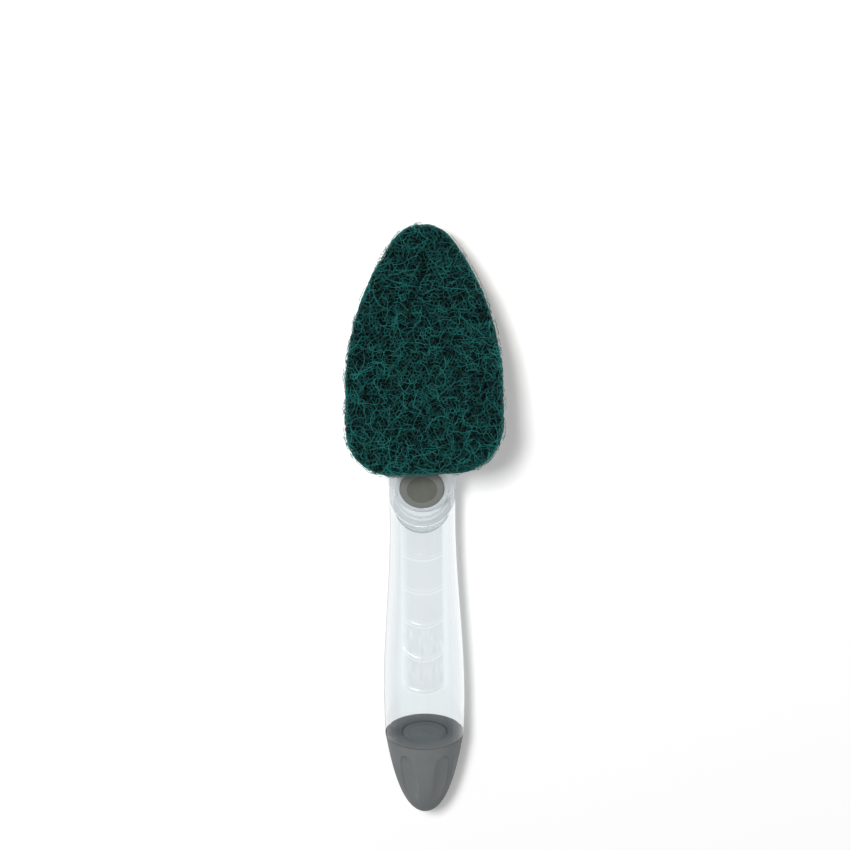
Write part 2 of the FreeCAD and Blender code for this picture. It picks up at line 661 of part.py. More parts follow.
def valve_sleeve():
    """Valve body: stem guide with a seal groove, outlet chamber with a port, and the seat."""
    body = rod_up(SLEEVE_RADIUS, SLEEVE_BOTTOM, BORE_FLOOR)
    body = body.fuse(rod_up(BORE_RADIUS - FIT, BORE_FLOOR, SLEEVE_TOP))
    guide = rod_up(STEM_RADIUS + SLIP, CHAMBER_TOP - OVERRUN, SLEEVE_TOP + OVERRUN)
    chamber = rod_up(CHAMBER_RADIUS, SLEEVE_BOTTOM + SEAT_THICKNESS, CHAMBER_TOP)
    seat_hole = rod_up(SEAT_HOLE_RADIUS, SLEEVE_BOTTOM - OVERRUN, CHAMBER_TOP)
    stem_groove = rod_up(
        STEM_RADIUS + STEM_RING_SIZE + RING_GROOVE_ROOM,
        STEM_RING_AT - STEM_RING_SIZE / 2 - RING_GROOVE_ROOM,
        STEM_RING_AT + STEM_RING_SIZE / 2 + RING_GROOVE_ROOM,
    )
    ring_groove = ring_up(
        SLEEVE_RADIUS - SLEEVE_RING_SIZE,
        SLEEVE_RADIUS + OVERRUN,
        SLEEVE_RING_AT - SLEEVE_RING_SIZE / 2 - RING_GROOVE_ROOM,
        SLEEVE_RING_AT + SLEEVE_RING_SIZE / 2 + RING_GROOVE_ROOM,
    )
    port = Part.makeCylinder(PORT_RADIUS, SLEEVE_RADIUS + OVERRUN, ORIGIN, ALONG)
    for tool in (guide, chamber, seat_hole, stem_groove, ring_groove, port):
        body = body.cut(tool)
    return placed(body, BUTTON_FRAME)


def square_ring(inner, size, height):
    """Square-cut seal ring around the button's axis."""
    return placed(ring_up(inner, inner + size, height - size / 2, height + size / 2), BUTTON_FRAME)


def stem_ring():
    return square_ring(STEM_RADIUS + SLIP, STEM_RING_SIZE, STEM_RING_AT)


def sleeve_ring():
    return square_ring(SLEEVE_RADIUS - SLEEVE_RING_SIZE + SLIP / 2, SLEEVE_RING_SIZE, SLEEVE_RING_AT)


def valve_stem():
    """Stem pressed into the button, with a waist through the seat and a clip groove."""
    groove = STEM_WAIST_RADIUS - CLIP_GROOVE_DEPTH
    return placed(
        turned_up([
            (0, STEM_TOP),
            (STEM_RADIUS, STEM_TOP),
            (STEM_RADIUS, CHAMBER_TOP),
            (STEM_WAIST_RADIUS, CHAMBER_TOP),
            (STEM_WAIST_RADIUS, DISC_BOTTOM),
            (groove, DISC_BOTTOM),
            (groove, CLIP_BOTTOM),
            (STEM_WAIST_RADIUS, CLIP_BOTTOM),
            (STEM_WAIST_RADIUS, STEM_BOTTOM),
            (0, STEM_BOTTOM),
        ]),
        BUTTON_FRAME,
    )


def valve_disc():
    """Soft sealing disc under the seat."""
    disc = ring_up(STEM_WAIST_RADIUS + SLIP, DISC_RADIUS, DISC_BOTTOM, SLEEVE_BOTTOM)
    return placed(disc, BUTTON_FRAME)


def stem_clip():
    """Open snap ring in the stem's groove, under the disc."""
    inner = STEM_WAIST_RADIUS - CLIP_GROOVE_DEPTH + SLIP
    clip = ring_up(inner, CLIP_RADIUS, CLIP_BOTTOM + SLIP, DISC_BOTTOM)
    mouth = block(CLIP_MOUTH / 2, 0, CLIP_RADIUS + OVERRUN, CLIP_BOTTOM, DISC_BOTTOM + OVERRUN)
    return placed(clip.cut(mouth), BUTTON_FRAME)


def arc_from(start, tangent, end):
    """Arc from a start point with a start direction to an end point."""
    chord = end - start
    unit = V(chord).normalize()
    along = tangent.dot(unit)
    side = tangent - unit * along
    bulge = chord.Length / 2 * math.tan(math.acos(min(1.0, along)) / 2)
    return Part.Arc(start, (start + end) / 2 + V(side).normalize() * bulge, end).toShape()


def biarc(start, start_dir, end, end_dir):
    """Two arcs that join two points and their directions smoothly."""
    gap = end - start
    total = start_dir + end_dir
    spread = 2 * (1 - start_dir.dot(end_dir))
    reach = (-gap.dot(total) + math.sqrt(gap.dot(total) ** 2 + spread * gap.dot(gap))) / spread
    middle = (start + end + (start_dir - end_dir) * reach) / 2
    back = arc_from(end, -end_dir, middle)
    return [arc_from(start, start_dir, middle), back]


def spring_point(turn, bottom, pitch):
    angle = 2 * math.pi * turn
    place = V(SPRING_RADIUS * math.cos(angle), SPRING_RADIUS * math.sin(angle), bottom + pitch * turn)
    rise = pitch / (2 * math.pi)
    heading = V(-SPRING_RADIUS * math.sin(angle), SPRING_RADIUS * math.cos(angle), rise)
    return place, heading.normalize()


def wire_section(centre, heading):
    """Many-sided section of the spring's wire, square to its heading."""
    outward = V(centre.x, centre.y, 0).normalize() * SPRING_WIRE_RADIUS
    turn = FreeCAD.Rotation(heading, 360 / SPRING_WIRE_SIDES)
    corners = [centre + outward]
    for _ in range(SPRING_WIRE_SIDES - 1):
        outward = turn.multVec(outward)
        corners.append(centre + outward)
    return Part.makePolygon(corners + corners[:1])


def return_spring():
    """Compression spring between the sleeve's flange and the button's roof."""
    bottom = SLEEVE_TOP + SPRING_WIRE_RADIUS + SLIP
    top = BUTTON_ROOF - SPRING_WIRE_RADIUS - SLIP
    pitch = (top - bottom) / SPRING_TURNS
    edges = []
    for i in range(round(SPRING_TURNS * SPRING_BIARCS_PER_TURN)):
        start, start_dir = spring_point(i / SPRING_BIARCS_PER_TURN, bottom, pitch)
        end, end_dir = spring_point((i + 1) / SPRING_BIARCS_PER_TURN, bottom, pitch)
        edges += biarc(start, start_dir, end, end_dir)
    path = Part.Wire(Part.__sortEdges__(edges))
    first, heading = spring_point(0, bottom, pitch)
    spring = path.makePipeShell([wire_section(first, heading)], True, False)

    count = round(SPRING_TURNS * SPRING_SAMPLES_PER_TURN)
    samples = [spring_point(i / SPRING_SAMPLES_PER_TURN, bottom, pitch)[0] for i in range(count)]
    apart = SPRING_SAMPLES_PER_TURN // 2
    least = min(
        (samples[i] - samples[j]).Length
        for i in range(count)
        for j in range(i + apart, count)
    )
    gap = least - 2 * SPRING_WIRE_RADIUS
    held = gap > SPRING_GAP_LEAST
    print(f"return_spring least gap to itself {gap:.2f} mm, over {SPRING_GAP_LEAST}: {held}")
    return placed(spring, BUTTON_FRAME)


def outlet_nozzle():
    """Soft duckbill at the end of the plug: an insert, a flange, and a flat-sided beak."""
    start = PLUG_END_AT - NOZZLE_INSERT
    flange_end = PLUG_END_AT + NOZZLE_FLANGE_THICKNESS
    beak_end = flange_end + NOZZLE_BEAK
    insert_radius = OUTLET_RADIUS - SLIP
    body = rod_along(insert_radius, start, PLUG_END_AT)
    body = body.fuse(rod_along(NOZZLE_FLANGE_RADIUS, PLUG_END_AT, flange_end))
    wedge = Part.makeLoft(
        [
            beak_section(insert_radius, insert_radius, flange_end),
            beak_section(insert_radius, NOZZLE_BEAK_TIP / 2, beak_end),
        ],
        True,
    )
    hole = rod_along(NOZZLE_HOLE_RADIUS, start - OVERRUN, flange_end)
    return body.fuse(wedge).cut(hole)


def beak_section(half_width, half_height, at):
    corners = [
        V(-half_width, at, -half_height),
        V(half_width, at, -half_height),
        V(half_width, at, half_height),
        V(-half_width, at, half_height),
    ]
    return Part.makePolygon(corners + corners[:1])


PIECES = {
    "handle_shell": handle_shell,
    "neck_housing": neck_housing,
    "button_bezel": button_bezel,
    "button_cap": button_cap,
    "button_inlay": button_inlay,
    "return_spring": return_spring,
    "valve_sleeve": valve_sleeve,
    "stem_ring": stem_ring,
    "sleeve_ring": sleeve_ring,
    "valve_stem": valve_stem,
    "valve_disc": valve_disc,
    "stem_clip": stem_clip,
    "outlet_nozzle": outlet_nozzle,
    "cap_gasket": cap_gasket,
    "end_cap": end_cap,
    "head_base": head_base,
    "feed_grommet": feed_grommet,
    "sponge_core": sponge_core,
    "scrub_pad": scrub_pad,
}


def main():
    os.makedirs("parts", exist_ok=True)
    shapes = {name: build() for name, build in PIECES.items()}
    bounds = Part.makeCompound(list(shapes.values())).optimalBoundingBox(False, False)
    shift = V(0, -bounds.Center.y, -bounds.ZMin)
    for name, shape in shapes.items():
        moved = shape.copy()
        moved.translate(shift)
        solids = moved.Solids
        print(f"{name}: {len(solids)} solid, valid {moved.isValid()}, {moved.Volume / 1000:.2f} cm3")
        moved.exportStep(f"parts/{name}.step")
    print(f"size {bounds.XLength:.2f} x {bounds.YLength:.2f} x {bounds.ZLength:.2f} mm")
    print(f"axis frame to part frame: y {shift.y:+.4f} mm, z {shift.z:+.4f} mm")
    print(f"head frame origin: y {HEAD_FRAME.Base.y + shift.y:.4f}, z {HEAD_FRAME.Base.z + shift.z:.4f}")
    print(f"button axis point: y {BUTTON_AT + shift.y:.4f}, z {shift.z:.4f}")
    print(f"mouth plane: y {MOUTH_AT + shift.y:.4f}, shoulder {SHOULDER_AT + shift.y:.4f}")


main()
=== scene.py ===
"""Looks for a dish wand with a clear soap handle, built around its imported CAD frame.

Sizes in the classes are millimetres in one of the wand's own spaces: along the handle's axis,
on the tilted head, or up the leaning button. Space.to_part turns them into metres in the part.
The studio's floor and lamps are in metres.
"""

from __future__ import annotations

import json
import logging
import math
from dataclasses import dataclass, field
from enum import Enum
from typing import Callable, Sequence

import bmesh
import bpy
import numpy as np
from mathutils import Matrix, Vector, noise

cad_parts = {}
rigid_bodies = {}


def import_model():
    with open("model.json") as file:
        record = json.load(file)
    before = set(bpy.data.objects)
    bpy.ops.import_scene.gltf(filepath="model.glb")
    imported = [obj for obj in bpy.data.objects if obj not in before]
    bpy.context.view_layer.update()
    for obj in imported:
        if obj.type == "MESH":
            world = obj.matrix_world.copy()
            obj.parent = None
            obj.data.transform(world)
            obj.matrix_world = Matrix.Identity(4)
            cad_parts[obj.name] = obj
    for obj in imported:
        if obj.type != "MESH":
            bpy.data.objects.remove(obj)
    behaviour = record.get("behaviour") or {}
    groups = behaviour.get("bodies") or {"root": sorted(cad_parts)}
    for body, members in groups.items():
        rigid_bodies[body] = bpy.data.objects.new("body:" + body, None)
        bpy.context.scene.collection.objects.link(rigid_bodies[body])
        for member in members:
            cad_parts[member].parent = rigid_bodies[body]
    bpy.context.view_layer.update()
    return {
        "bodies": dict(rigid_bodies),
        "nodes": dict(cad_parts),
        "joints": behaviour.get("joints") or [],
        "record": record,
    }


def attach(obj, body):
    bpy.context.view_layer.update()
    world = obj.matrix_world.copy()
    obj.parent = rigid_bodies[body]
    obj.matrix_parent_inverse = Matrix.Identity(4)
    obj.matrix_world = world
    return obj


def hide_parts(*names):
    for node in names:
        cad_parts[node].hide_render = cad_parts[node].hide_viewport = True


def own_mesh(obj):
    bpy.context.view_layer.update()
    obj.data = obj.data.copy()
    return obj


LOG = logging.getLogger("dish_wand")
MM = 0.001
Colour = tuple[float, float, float]
Profile = list[tuple[float, ...]]
Span = tuple[float, float]
Faces = list[tuple[int, ...]]
Mesh = tuple[np.ndarray, Faces]
TINY = 1e-6
CORNER_SHARE = 0.42

# Place and radius of the handle's mouth, where the cap meets it
MOUTH_AT = -113.2
MOUTH = 15.83


class Space(Enum):
    """The wand's own spaces: origin in the part in mm, and turn about X in degrees."""

    AXIS = ((0.0, 22.7874, 16.25), 0.0)
    HEAD = ((0.0, 38.0109, 55.9085), -21.0)
    BUTTON = ((0.0, 24.6874, 16.25), 9.0)

    def turn(self) -> np.ndarray:
        """Rotation matrix of the space.

        Returns:
            Matrix that turns its directions into the part's.
        """
        angle = math.radians(self.value[1])
        c, s = math.cos(angle), math.sin(angle)
        return np.array([[1, 0, 0], [0, c, -s], [0, s, c]])

    def to_part(self, points: np.ndarray) -> np.ndarray:
        """Turn points in mm of this space into metres in the part.

        Args:
            points: array of points, three columns.

        Returns:
            The points in the part's frame, in metres.
        """
        return (points @ self.turn().T + np.array(self.value[0])) * MM

    def direction(self, vector: Sequence[float]) -> Vector:
        """Turn a direction of this space into the part's frame."""
        return Vector(self.turn() @ np.array(vector, float))


class Finish(Enum):
    """Names of the wand's finishes, the same as the record's material slots."""

    CLEAR = "clear_plastic"
    BASE = "base_plastic"
    BUTTON = "button_grey"
    INLAY = "inlay_grey"
    CAP = "cap_grey"
    STEEL = "spring_steel"
    VALVE = "valve_white"
    SEAL = "seal_dark"
    NOZZLE = "nozzle_soft"
    SPONGE = "sponge_yellow"
    PAD = "pad_green"


# Shader node groups

class NodeTree:
    """Short hand for adding and joining the nodes of a tree."""

    def __init__(self, tree: bpy.types.NodeTree) -> None:
        """Keep the tree that the nodes go into."""
        self.tree = tree

    def add(self, kind: str, **values: object) -> bpy.types.Node:
        """Add a node and set its properties or input values.

        Args:
            kind: node type.
            values: properties, or inputs by name with spaces written as underscores.

        Returns:
            The new node.
        """
        node = self.tree.nodes.new(kind)
        for key, value in values.items():
            if hasattr(node, key):
                setattr(node, key, value)
            else:
                node.inputs[key.replace("_", " ")].default_value = value
        return node

    def join(self, source: bpy.types.NodeSocket, target: bpy.types.NodeSocket) -> None:
        """Link two sockets."""
        self.tree.links.new(source, target)

    def maths(self, operation: str, a: object, b: object) -> bpy.types.NodeSocket:
        """Add a Math node.

        Args:
            operation: what it does.
            a: first input, a socket or a number.
            b: second input, likewise.

        Returns:
            Its output.
        """
        node = self.add("ShaderNodeMath", operation=operation)
        for socket, value in zip(node.inputs, (a, b)):
            if isinstance(value, bpy.types.NodeSocket):
                self.join(value, socket)
            else:
                socket.default_value = value
        return node.outputs[0]

    def span(self, value: bpy.types.NodeSocket, low: float, high: float) -> bpy.types.NodeSocket:
        """Map a value from 0..1 to a span.

        Args:
            value: output that gives the value.
            low: result at 0.
            high: result at 1.

        Returns:
            The mapped value.
        """
        node = self.add("ShaderNodeMapRange", To_Min=low, To_Max=high)
        self.join(value, node.inputs["Value"])
        return node.outputs["Result"]

    def blend(self, share: bpy.types.NodeSocket, low: Colour, high: Colour) -> bpy.types.NodeSocket:
        """Mix two colours by a share.

        Args:
            share: output that gives the share.
            low: colour at 0.
            high: colour at 1.

        Returns:
            The mixed colour.
        """
        node = self.add("ShaderNodeMix", data_type="RGBA")
        node.inputs["A"].default_value = (*low, 1)
        node.inputs["B"].default_value = (*high, 1)
        self.join(share, node.inputs["Factor"])
        return next(s for s in node.outputs if s.type == "RGBA")

    def place(self) -> bpy.types.NodeSocket:
        """Object coordinates."""
        return self.add("ShaderNodeTexCoord").outputs["Object"]

    def stored(self, name: str) -> bpy.types.NodeSocket:
        """A number that the piece's mesh stores under a name."""
        return self.add("ShaderNodeAttribute", attribute_name=name).outputs["Fac"]

    def straight_through(self, path: bpy.types.Node) -> bpy.types.NodeSocket:
        """1 for rays that went through clear pieces and off no matt surface, from a Light Path node."""
        direct = self.maths("LESS_THAN", path.outputs["Diffuse Depth"], 0.5)
        return self.maths("MULTIPLY", path.outputs["Is Transmission Ray"], direct)


class EffectGroups:
    """The shader node groups that the wand's materials share."""

    broad_scale: float = 0.05
    broad_height: float = 0.5
    streak_stretch: tuple[float, float, float] = (8.0, 0.6, 8.0)
    worn: Span = (0.18, 0.42)

    def __init__(self) -> None:
        """Build each group once."""
        self.grain = self._build("mould_grain", self._grain, ("Scale",), ("Fine", "Broad", "Height"))
        self.handling = self._build("handling_marks", self._handling, ("Scale",), ("Mask",))

    @staticmethod
    def _build(
        name: str,
        fill: Callable[[NodeTree, bpy.types.Node, bpy.types.Node], None],
        inputs: Sequence[str],
        outputs: Sequence[str],
    ) -> bpy.types.NodeTree:
        """Make a group with float sockets and let a function fill it.

        Args:
            name: name of the group.
            fill: adds the nodes between the group's input and output node.
            inputs: names of the float inputs.
            outputs: names of the float outputs.

        Returns:
            The finished group.
        """
        tree = bpy.data.node_groups.new(name, "ShaderNodeTree")
        for label in inputs:
            tree.interface.new_socket(name=label, in_out="INPUT", socket_type="NodeSocketFloat")
        for label in outputs:
            tree.interface.new_socket(name=label, in_out="OUTPUT", socket_type="NodeSocketFloat")
        nodes = NodeTree(tree)
        fill(nodes, nodes.add("NodeGroupInput"), nodes.add("NodeGroupOutput"))
        return tree

    def _grain(self, nodes: NodeTree, given: bpy.types.Node, out: bpy.types.Node) -> None:
        """Fine moulded grain over a broad unevenness.

        Args:
            nodes: nodes of the group.
            given: its input node.
            out: its output node.
        """
        place, scale = nodes.place(), given.outputs["Scale"]
        fine = nodes.add("ShaderNodeTexNoise", Detail=3.0, Roughness=0.6)
        broad = nodes.add("ShaderNodeTexNoise", Detail=2.0, Roughness=0.5)
        for texture in (fine, broad):
            nodes.join(place, texture.inputs["Vector"])
        nodes.join(scale, fine.inputs["Scale"])
        nodes.join(nodes.maths("MULTIPLY", scale, self.broad_scale), broad.inputs["Scale"])
        nodes.join(fine.outputs[0], out.inputs["Fine"])
        nodes.join(broad.outputs[0], out.inputs["Broad"])
        swell = nodes.maths("MULTIPLY", broad.outputs[0], self.broad_height)
        nodes.join(nodes.maths("ADD", fine.outputs[0], swell), out.inputs["Height"])

    def _handling(self, nodes: NodeTree, given: bpy.types.Node, out: bpy.types.Node) -> None:
        """Soft patches and faint streaks where hands have polished the surface.

        Args:
            nodes: nodes of the group.
            given: its input node.
            out: its output node.
        """
        place = nodes.place()
        patch = nodes.add("ShaderNodeTexNoise", Detail=4.0, Roughness=0.65, Distortion=0.6)
        streak = nodes.add("ShaderNodeTexNoise", Detail=2.0)
        long = nodes.add("ShaderNodeMapping", Scale=self.streak_stretch)
        nodes.join(place, patch.inputs["Vector"])
        nodes.join(place, long.inputs["Vector"])
        nodes.join(long.outputs[0], streak.inputs["Vector"])
        for texture in (patch, streak):
            nodes.join(given.outputs["Scale"], texture.inputs["Scale"])
        both = nodes.maths("MULTIPLY", patch.outputs[0], streak.outputs[0])
        ramp = nodes.add("ShaderNodeMapRange", From_Min=self.worn[0], From_Max=self.worn[1])
        nodes.join(both, ramp.inputs["Value"])
        nodes.join(ramp.outputs["Result"], out.inputs["Mask"])


class MaterialSketch(NodeTree):
    """A material with a Principled BSDF."""

    def __init__(self, name: str, **constants: object) -> None:
        """Start the material.

        Args:
            name: name of the material.
            constants: values of the Principled BSDF that are the same all over.
        """
        self.material = bpy.data.materials.new(name)
        self.material.use_nodes = True
        super().__init__(self.material.node_tree)
        self.shader = self.tree.nodes["Principled BSDF"]
        self.output = self.tree.nodes["Material Output"]
        for key, value in constants.items():
            self.shader.inputs[key.replace("_", " ")].default_value = value

    def group(self, tree: bpy.types.NodeTree, scale: float) -> bpy.types.Node:
        """Place a shared group with its own scale."""
        return self.add("ShaderNodeGroup", node_tree=tree, Scale=scale)

    def feed(self, socket: bpy.types.NodeSocket, name: str) -> None:
        """Link a socket into the Principled BSDF."""
        self.join(socket, self.shader.inputs[name])

    def bump(self, height: bpy.types.NodeSocket, strength: float, distance_mm: float) -> None:
        """Feed a height into the normal through a Bump node.

        Args:
            height: output that gives the height.
            strength: strength of the bump.
            distance_mm: height of the bump in mm.
        """
        node = self.add("ShaderNodeBump", Strength=strength, Distance=distance_mm * MM)
        self.join(height, node.inputs["Height"])
        self.feed(node.outputs["Normal"], "Normal")


@dataclass(frozen=True)
class MouldedFinish:
    """Opaque moulded plastic or rubber: grain, uneven colour and polished patches."""

    name: str
    low: Colour
    high: Colour
    rough: Span
    grain_scale: float = 2600.0
    grain_mm: float = 0.05
    grain_strength: float = 0.25
    broad_share: float = 0.65
    marks_scale: float = 60.0
    painted_lights: bool = False
    # Room in the colour span for the stored painted shade and highlights.
    accent_base: Span = (0.34, 0.66)

    def material(self, groups: EffectGroups) -> bpy.types.Material:
        """Build the material, with painted highlights and painted shade where the piece stores them.

        Args:
            groups: the shared node groups.

        Returns:
            The material.
        """
        sketch = MaterialSketch(self.name)
        grain = sketch.group(groups.grain, self.grain_scale)
        marks = sketch.group(groups.handling, self.marks_scale)
        shade = sketch.maths("ADD", sketch.maths("MULTIPLY", grain.outputs["Broad"], self.broad_share),
                             sketch.maths("MULTIPLY", grain.outputs["Fine"], 1 - self.broad_share))
        # Painted light stored on the piece: painted shade in creases and at rims, painted highlights on
        # ridges.
        if self.painted_lights:
            shade = sketch.maths("ADD", sketch.span(shade, *self.accent_base), sketch.stored("painted_light"))
        sketch.feed(sketch.blend(shade, self.low, self.high), "Base Color")
        sketch.feed(sketch.span(marks.outputs["Mask"], self.rough[1], self.rough[0]), "Roughness")
        sketch.bump(grain.outputs["Height"], self.grain_strength, self.grain_mm)
        return sketch.material


@dataclass(frozen=True)
class ClearFinish:
    """Clear moulded plastic with a cool tint, faint flow waviness and handling haze."""

    name: str
    low: Colour
    high: Colour
    by_clarity_and_painted_light: bool = False
    milk: float = 0.0
    ior: float = 1.003
    coat_rough: float = 0.17
    rough: Span = (0.02, 0.09)
    wave_scale: float = 420.0
    wave_mm: float = 0.12
    wave_strength: float = 0.15
    marks_scale: float = 40.0
    marks_tint: Span = (0.05, -0.05)
    shadow_share: float = 0.12
    shadow_tint: Colour = (0.93, 0.96, 0.97)

    def material(self, groups: EffectGroups) -> bpy.types.Material:
        """Build the material, which lets some of the light through in its shadow.

        Args:
            groups: the shared node groups.

        Returns:
            The material.
        """
        sketch = MaterialSketch(self.name, Transmission_Weight=1.0 - self.milk, IOR=self.ior,
                                Coat_Weight=1.0, Coat_Roughness=self.coat_rough)
        wave = sketch.group(groups.grain, self.wave_scale).outputs["Broad"]
        marks = sketch.group(groups.handling, self.marks_scale).outputs["Mask"]
        share = wave
        if self.by_clarity_and_painted_light:
            # The stored clarity holds painted highlights and painted shade as well as the wall's tint.
            share = sketch.maths("ADD", sketch.stored("clarity_and_painted_light"), sketch.span(marks, *self.marks_tint))
            sketch.feed(sketch.stored("gloss"), "Coat Weight")
        sketch.feed(sketch.blend(share, self.low, self.high), "Base Color")
        sketch.feed(sketch.span(marks, *self.rough), "Roughness")
        sketch.bump(wave, self.wave_strength, self.wave_mm)
        shadow = sketch.add("ShaderNodeLightPath").outputs["Is Shadow Ray"]
        open_way = sketch.add("ShaderNodeBsdfTransparent", Color=(*self.shadow_tint, 1))
        mix = sketch.add("ShaderNodeMixShader")
        sketch.join(sketch.maths("MULTIPLY", shadow, self.shadow_share), mix.inputs[0])
        sketch.join(sketch.shader.outputs[0], mix.inputs[1])
        sketch.join(open_way.outputs[0], mix.inputs[2])
        sketch.join(mix.outputs[0], sketch.output.inputs["Surface"])
        return sketch.material


@dataclass(frozen=True)
class SteelFinish:
    """Drawn spring steel with fine streaks."""

    name: str = "drawn_steel"
    low: Colour = (0.42, 0.42, 0.43)
    high: Colour = (0.66, 0.66, 0.67)
    rough: Span = (0.22, 0.42)
    grain_scale: float = 5200.0
    grain_mm: float = 0.02
    grain_strength: float = 0.15

    def material(self, groups: EffectGroups) -> bpy.types.Material:
        """Build the material.

        Args:
            groups: the shared node groups.

        Returns:
            The material.
        """
        sketch = MaterialSketch(self.name, Metallic=1.0)
        grain = sketch.group(groups.grain, self.grain_scale)
        sketch.feed(sketch.blend(grain.outputs["Fine"], self.low, self.high), "Base Color")
        sketch.feed(sketch.span(grain.outputs["Broad"], *self.rough), "Roughness")
        sketch.bump(grain.outputs["Height"], self.grain_strength, self.grain_mm)
        return sketch.material


@dataclass(frozen=True)
class FibreFinish:
    """Coated scrubbing fibre: each strand has its own tint, with resin beads along it; the tint also holds
    painted shade on lower strands and a painted sheen near the pad's edge.
    """

    name: str
    low: Colour
    high: Colour
    specular: float = 0.12
    rough: Span = (0.38, 0.7)
    bead_tint: Span = (0.45, 1.45)
    grain_scale: float = 3200.0
    grain_mm: float = 0.06
    grain_strength: float = 0.4

    def material(self, groups: EffectGroups) -> bpy.types.Material:
        """Build the material.

        Args:
            groups: the shared node groups.

        Returns:
            The material.
        """
        sketch = MaterialSketch(self.name, Specular_IOR_Level=self.specular)
        grain = sketch.group(groups.grain, self.grain_scale)
        beads = sketch.span(grain.outputs["Fine"], *self.bead_tint)
        share = sketch.maths("MULTIPLY", sketch.stored("strand_tint_and_painted_light"), beads)
        sketch.feed(sketch.blend(share, self.low, self.high), "Base Color")
        sketch.feed(sketch.span(grain.outputs["Fine"], *self.rough), "Roughness")
        sketch.bump(grain.outputs["Height"], self.grain_strength, self.grain_mm)
        return sketch.material


@dataclass(frozen=True)
class FeltFinish:
    """Tangled body of the pad below its strands, near-black as painted shade in the gaps between strands."""

    name: str = "pad_felt"
    low: Colour = (0.0006, 0.0018, 0.0018)
    high: Colour = (0.0014, 0.007, 0.0065)
    rough: float = 0.95
    specular: float = 0.04
    tangle_scale: float = 1100.0
    tangle_width: float = 0.25
    tangle_mm: float = 0.4
    tangle_strength: float = 0.8
    grain_scale: float = 1500.0

    def material(self, groups: EffectGroups) -> bpy.types.Material:
        """Build the material.

        Args:
            groups: the shared node groups.

        Returns:
            The material.
        """
        sketch = MaterialSketch(self.name, Roughness=self.rough, Specular_IOR_Level=self.specular)
        tangle = sketch.add("ShaderNodeTexVoronoi", feature="DISTANCE_TO_EDGE", Scale=self.tangle_scale)
        sketch.join(sketch.place(), tangle.inputs["Vector"])
        grain = sketch.group(groups.grain, self.grain_scale)
        edge = sketch.add("ShaderNodeMapRange", From_Max=self.tangle_width, To_Min=1.0, To_Max=0.0)
        sketch.join(tangle.outputs["Distance"], edge.inputs["Value"])
        share = sketch.maths("MULTIPLY", edge.outputs["Result"], grain.outputs["Fine"])
        sketch.feed(sketch.blend(share, self.low, self.high), "Base Color")
        sketch.bump(share, self.tangle_strength, self.tangle_mm)
        return sketch.material


@dataclass(frozen=True)
class SpongeFinish:
    """Open-cell sponge: pale skin between pores of several sizes, the pores darker as painted shade."""

    name: str = "open_sponge"
    low: Colour = (0.42, 0.30, 0.08)
    high: Colour = (0.82, 0.67, 0.30)
    rough: float = 0.9
    sheen: float = 0.2
    large_scale: float = 420.0
    large_shade: Span = (0.1, 1.3)
    small_scale: float = 1300.0
    small_shade: Span = (0.5, 1.3)
    pore_mm: float = 0.7
    pore_strength: float = 0.9
    grain_scale: float = 2200.0
    grain_share: float = 0.2

    def material(self, groups: EffectGroups) -> bpy.types.Material:
        """Build the material.

        Args:
            groups: the shared node groups.

        Returns:
            The material.
        """
        sketch = MaterialSketch(self.name, Roughness=self.rough, Sheen_Weight=self.sheen)
        place = sketch.place()
        shades = []
        # Painted shade: darker towards the middle of each pore.
        for scale, shade in ((self.large_scale, self.large_shade), (self.small_scale, self.small_shade)):
            cells = sketch.add("ShaderNodeTexVoronoi", feature="F1", Scale=scale)
            sketch.join(place, cells.inputs["Vector"])
            shades.append(sketch.span(cells.outputs["Distance"], *shade))
        pores = sketch.maths("MULTIPLY", *shades)
        grain = sketch.group(groups.grain, self.grain_scale)
        share = sketch.maths("ADD", pores, sketch.maths("MULTIPLY", grain.outputs["Fine"], self.grain_share))
        sketch.feed(sketch.blend(share, self.low, self.high), "Base Color")
        sketch.bump(pores, self.pore_strength, self.pore_mm)
        return sketch.material


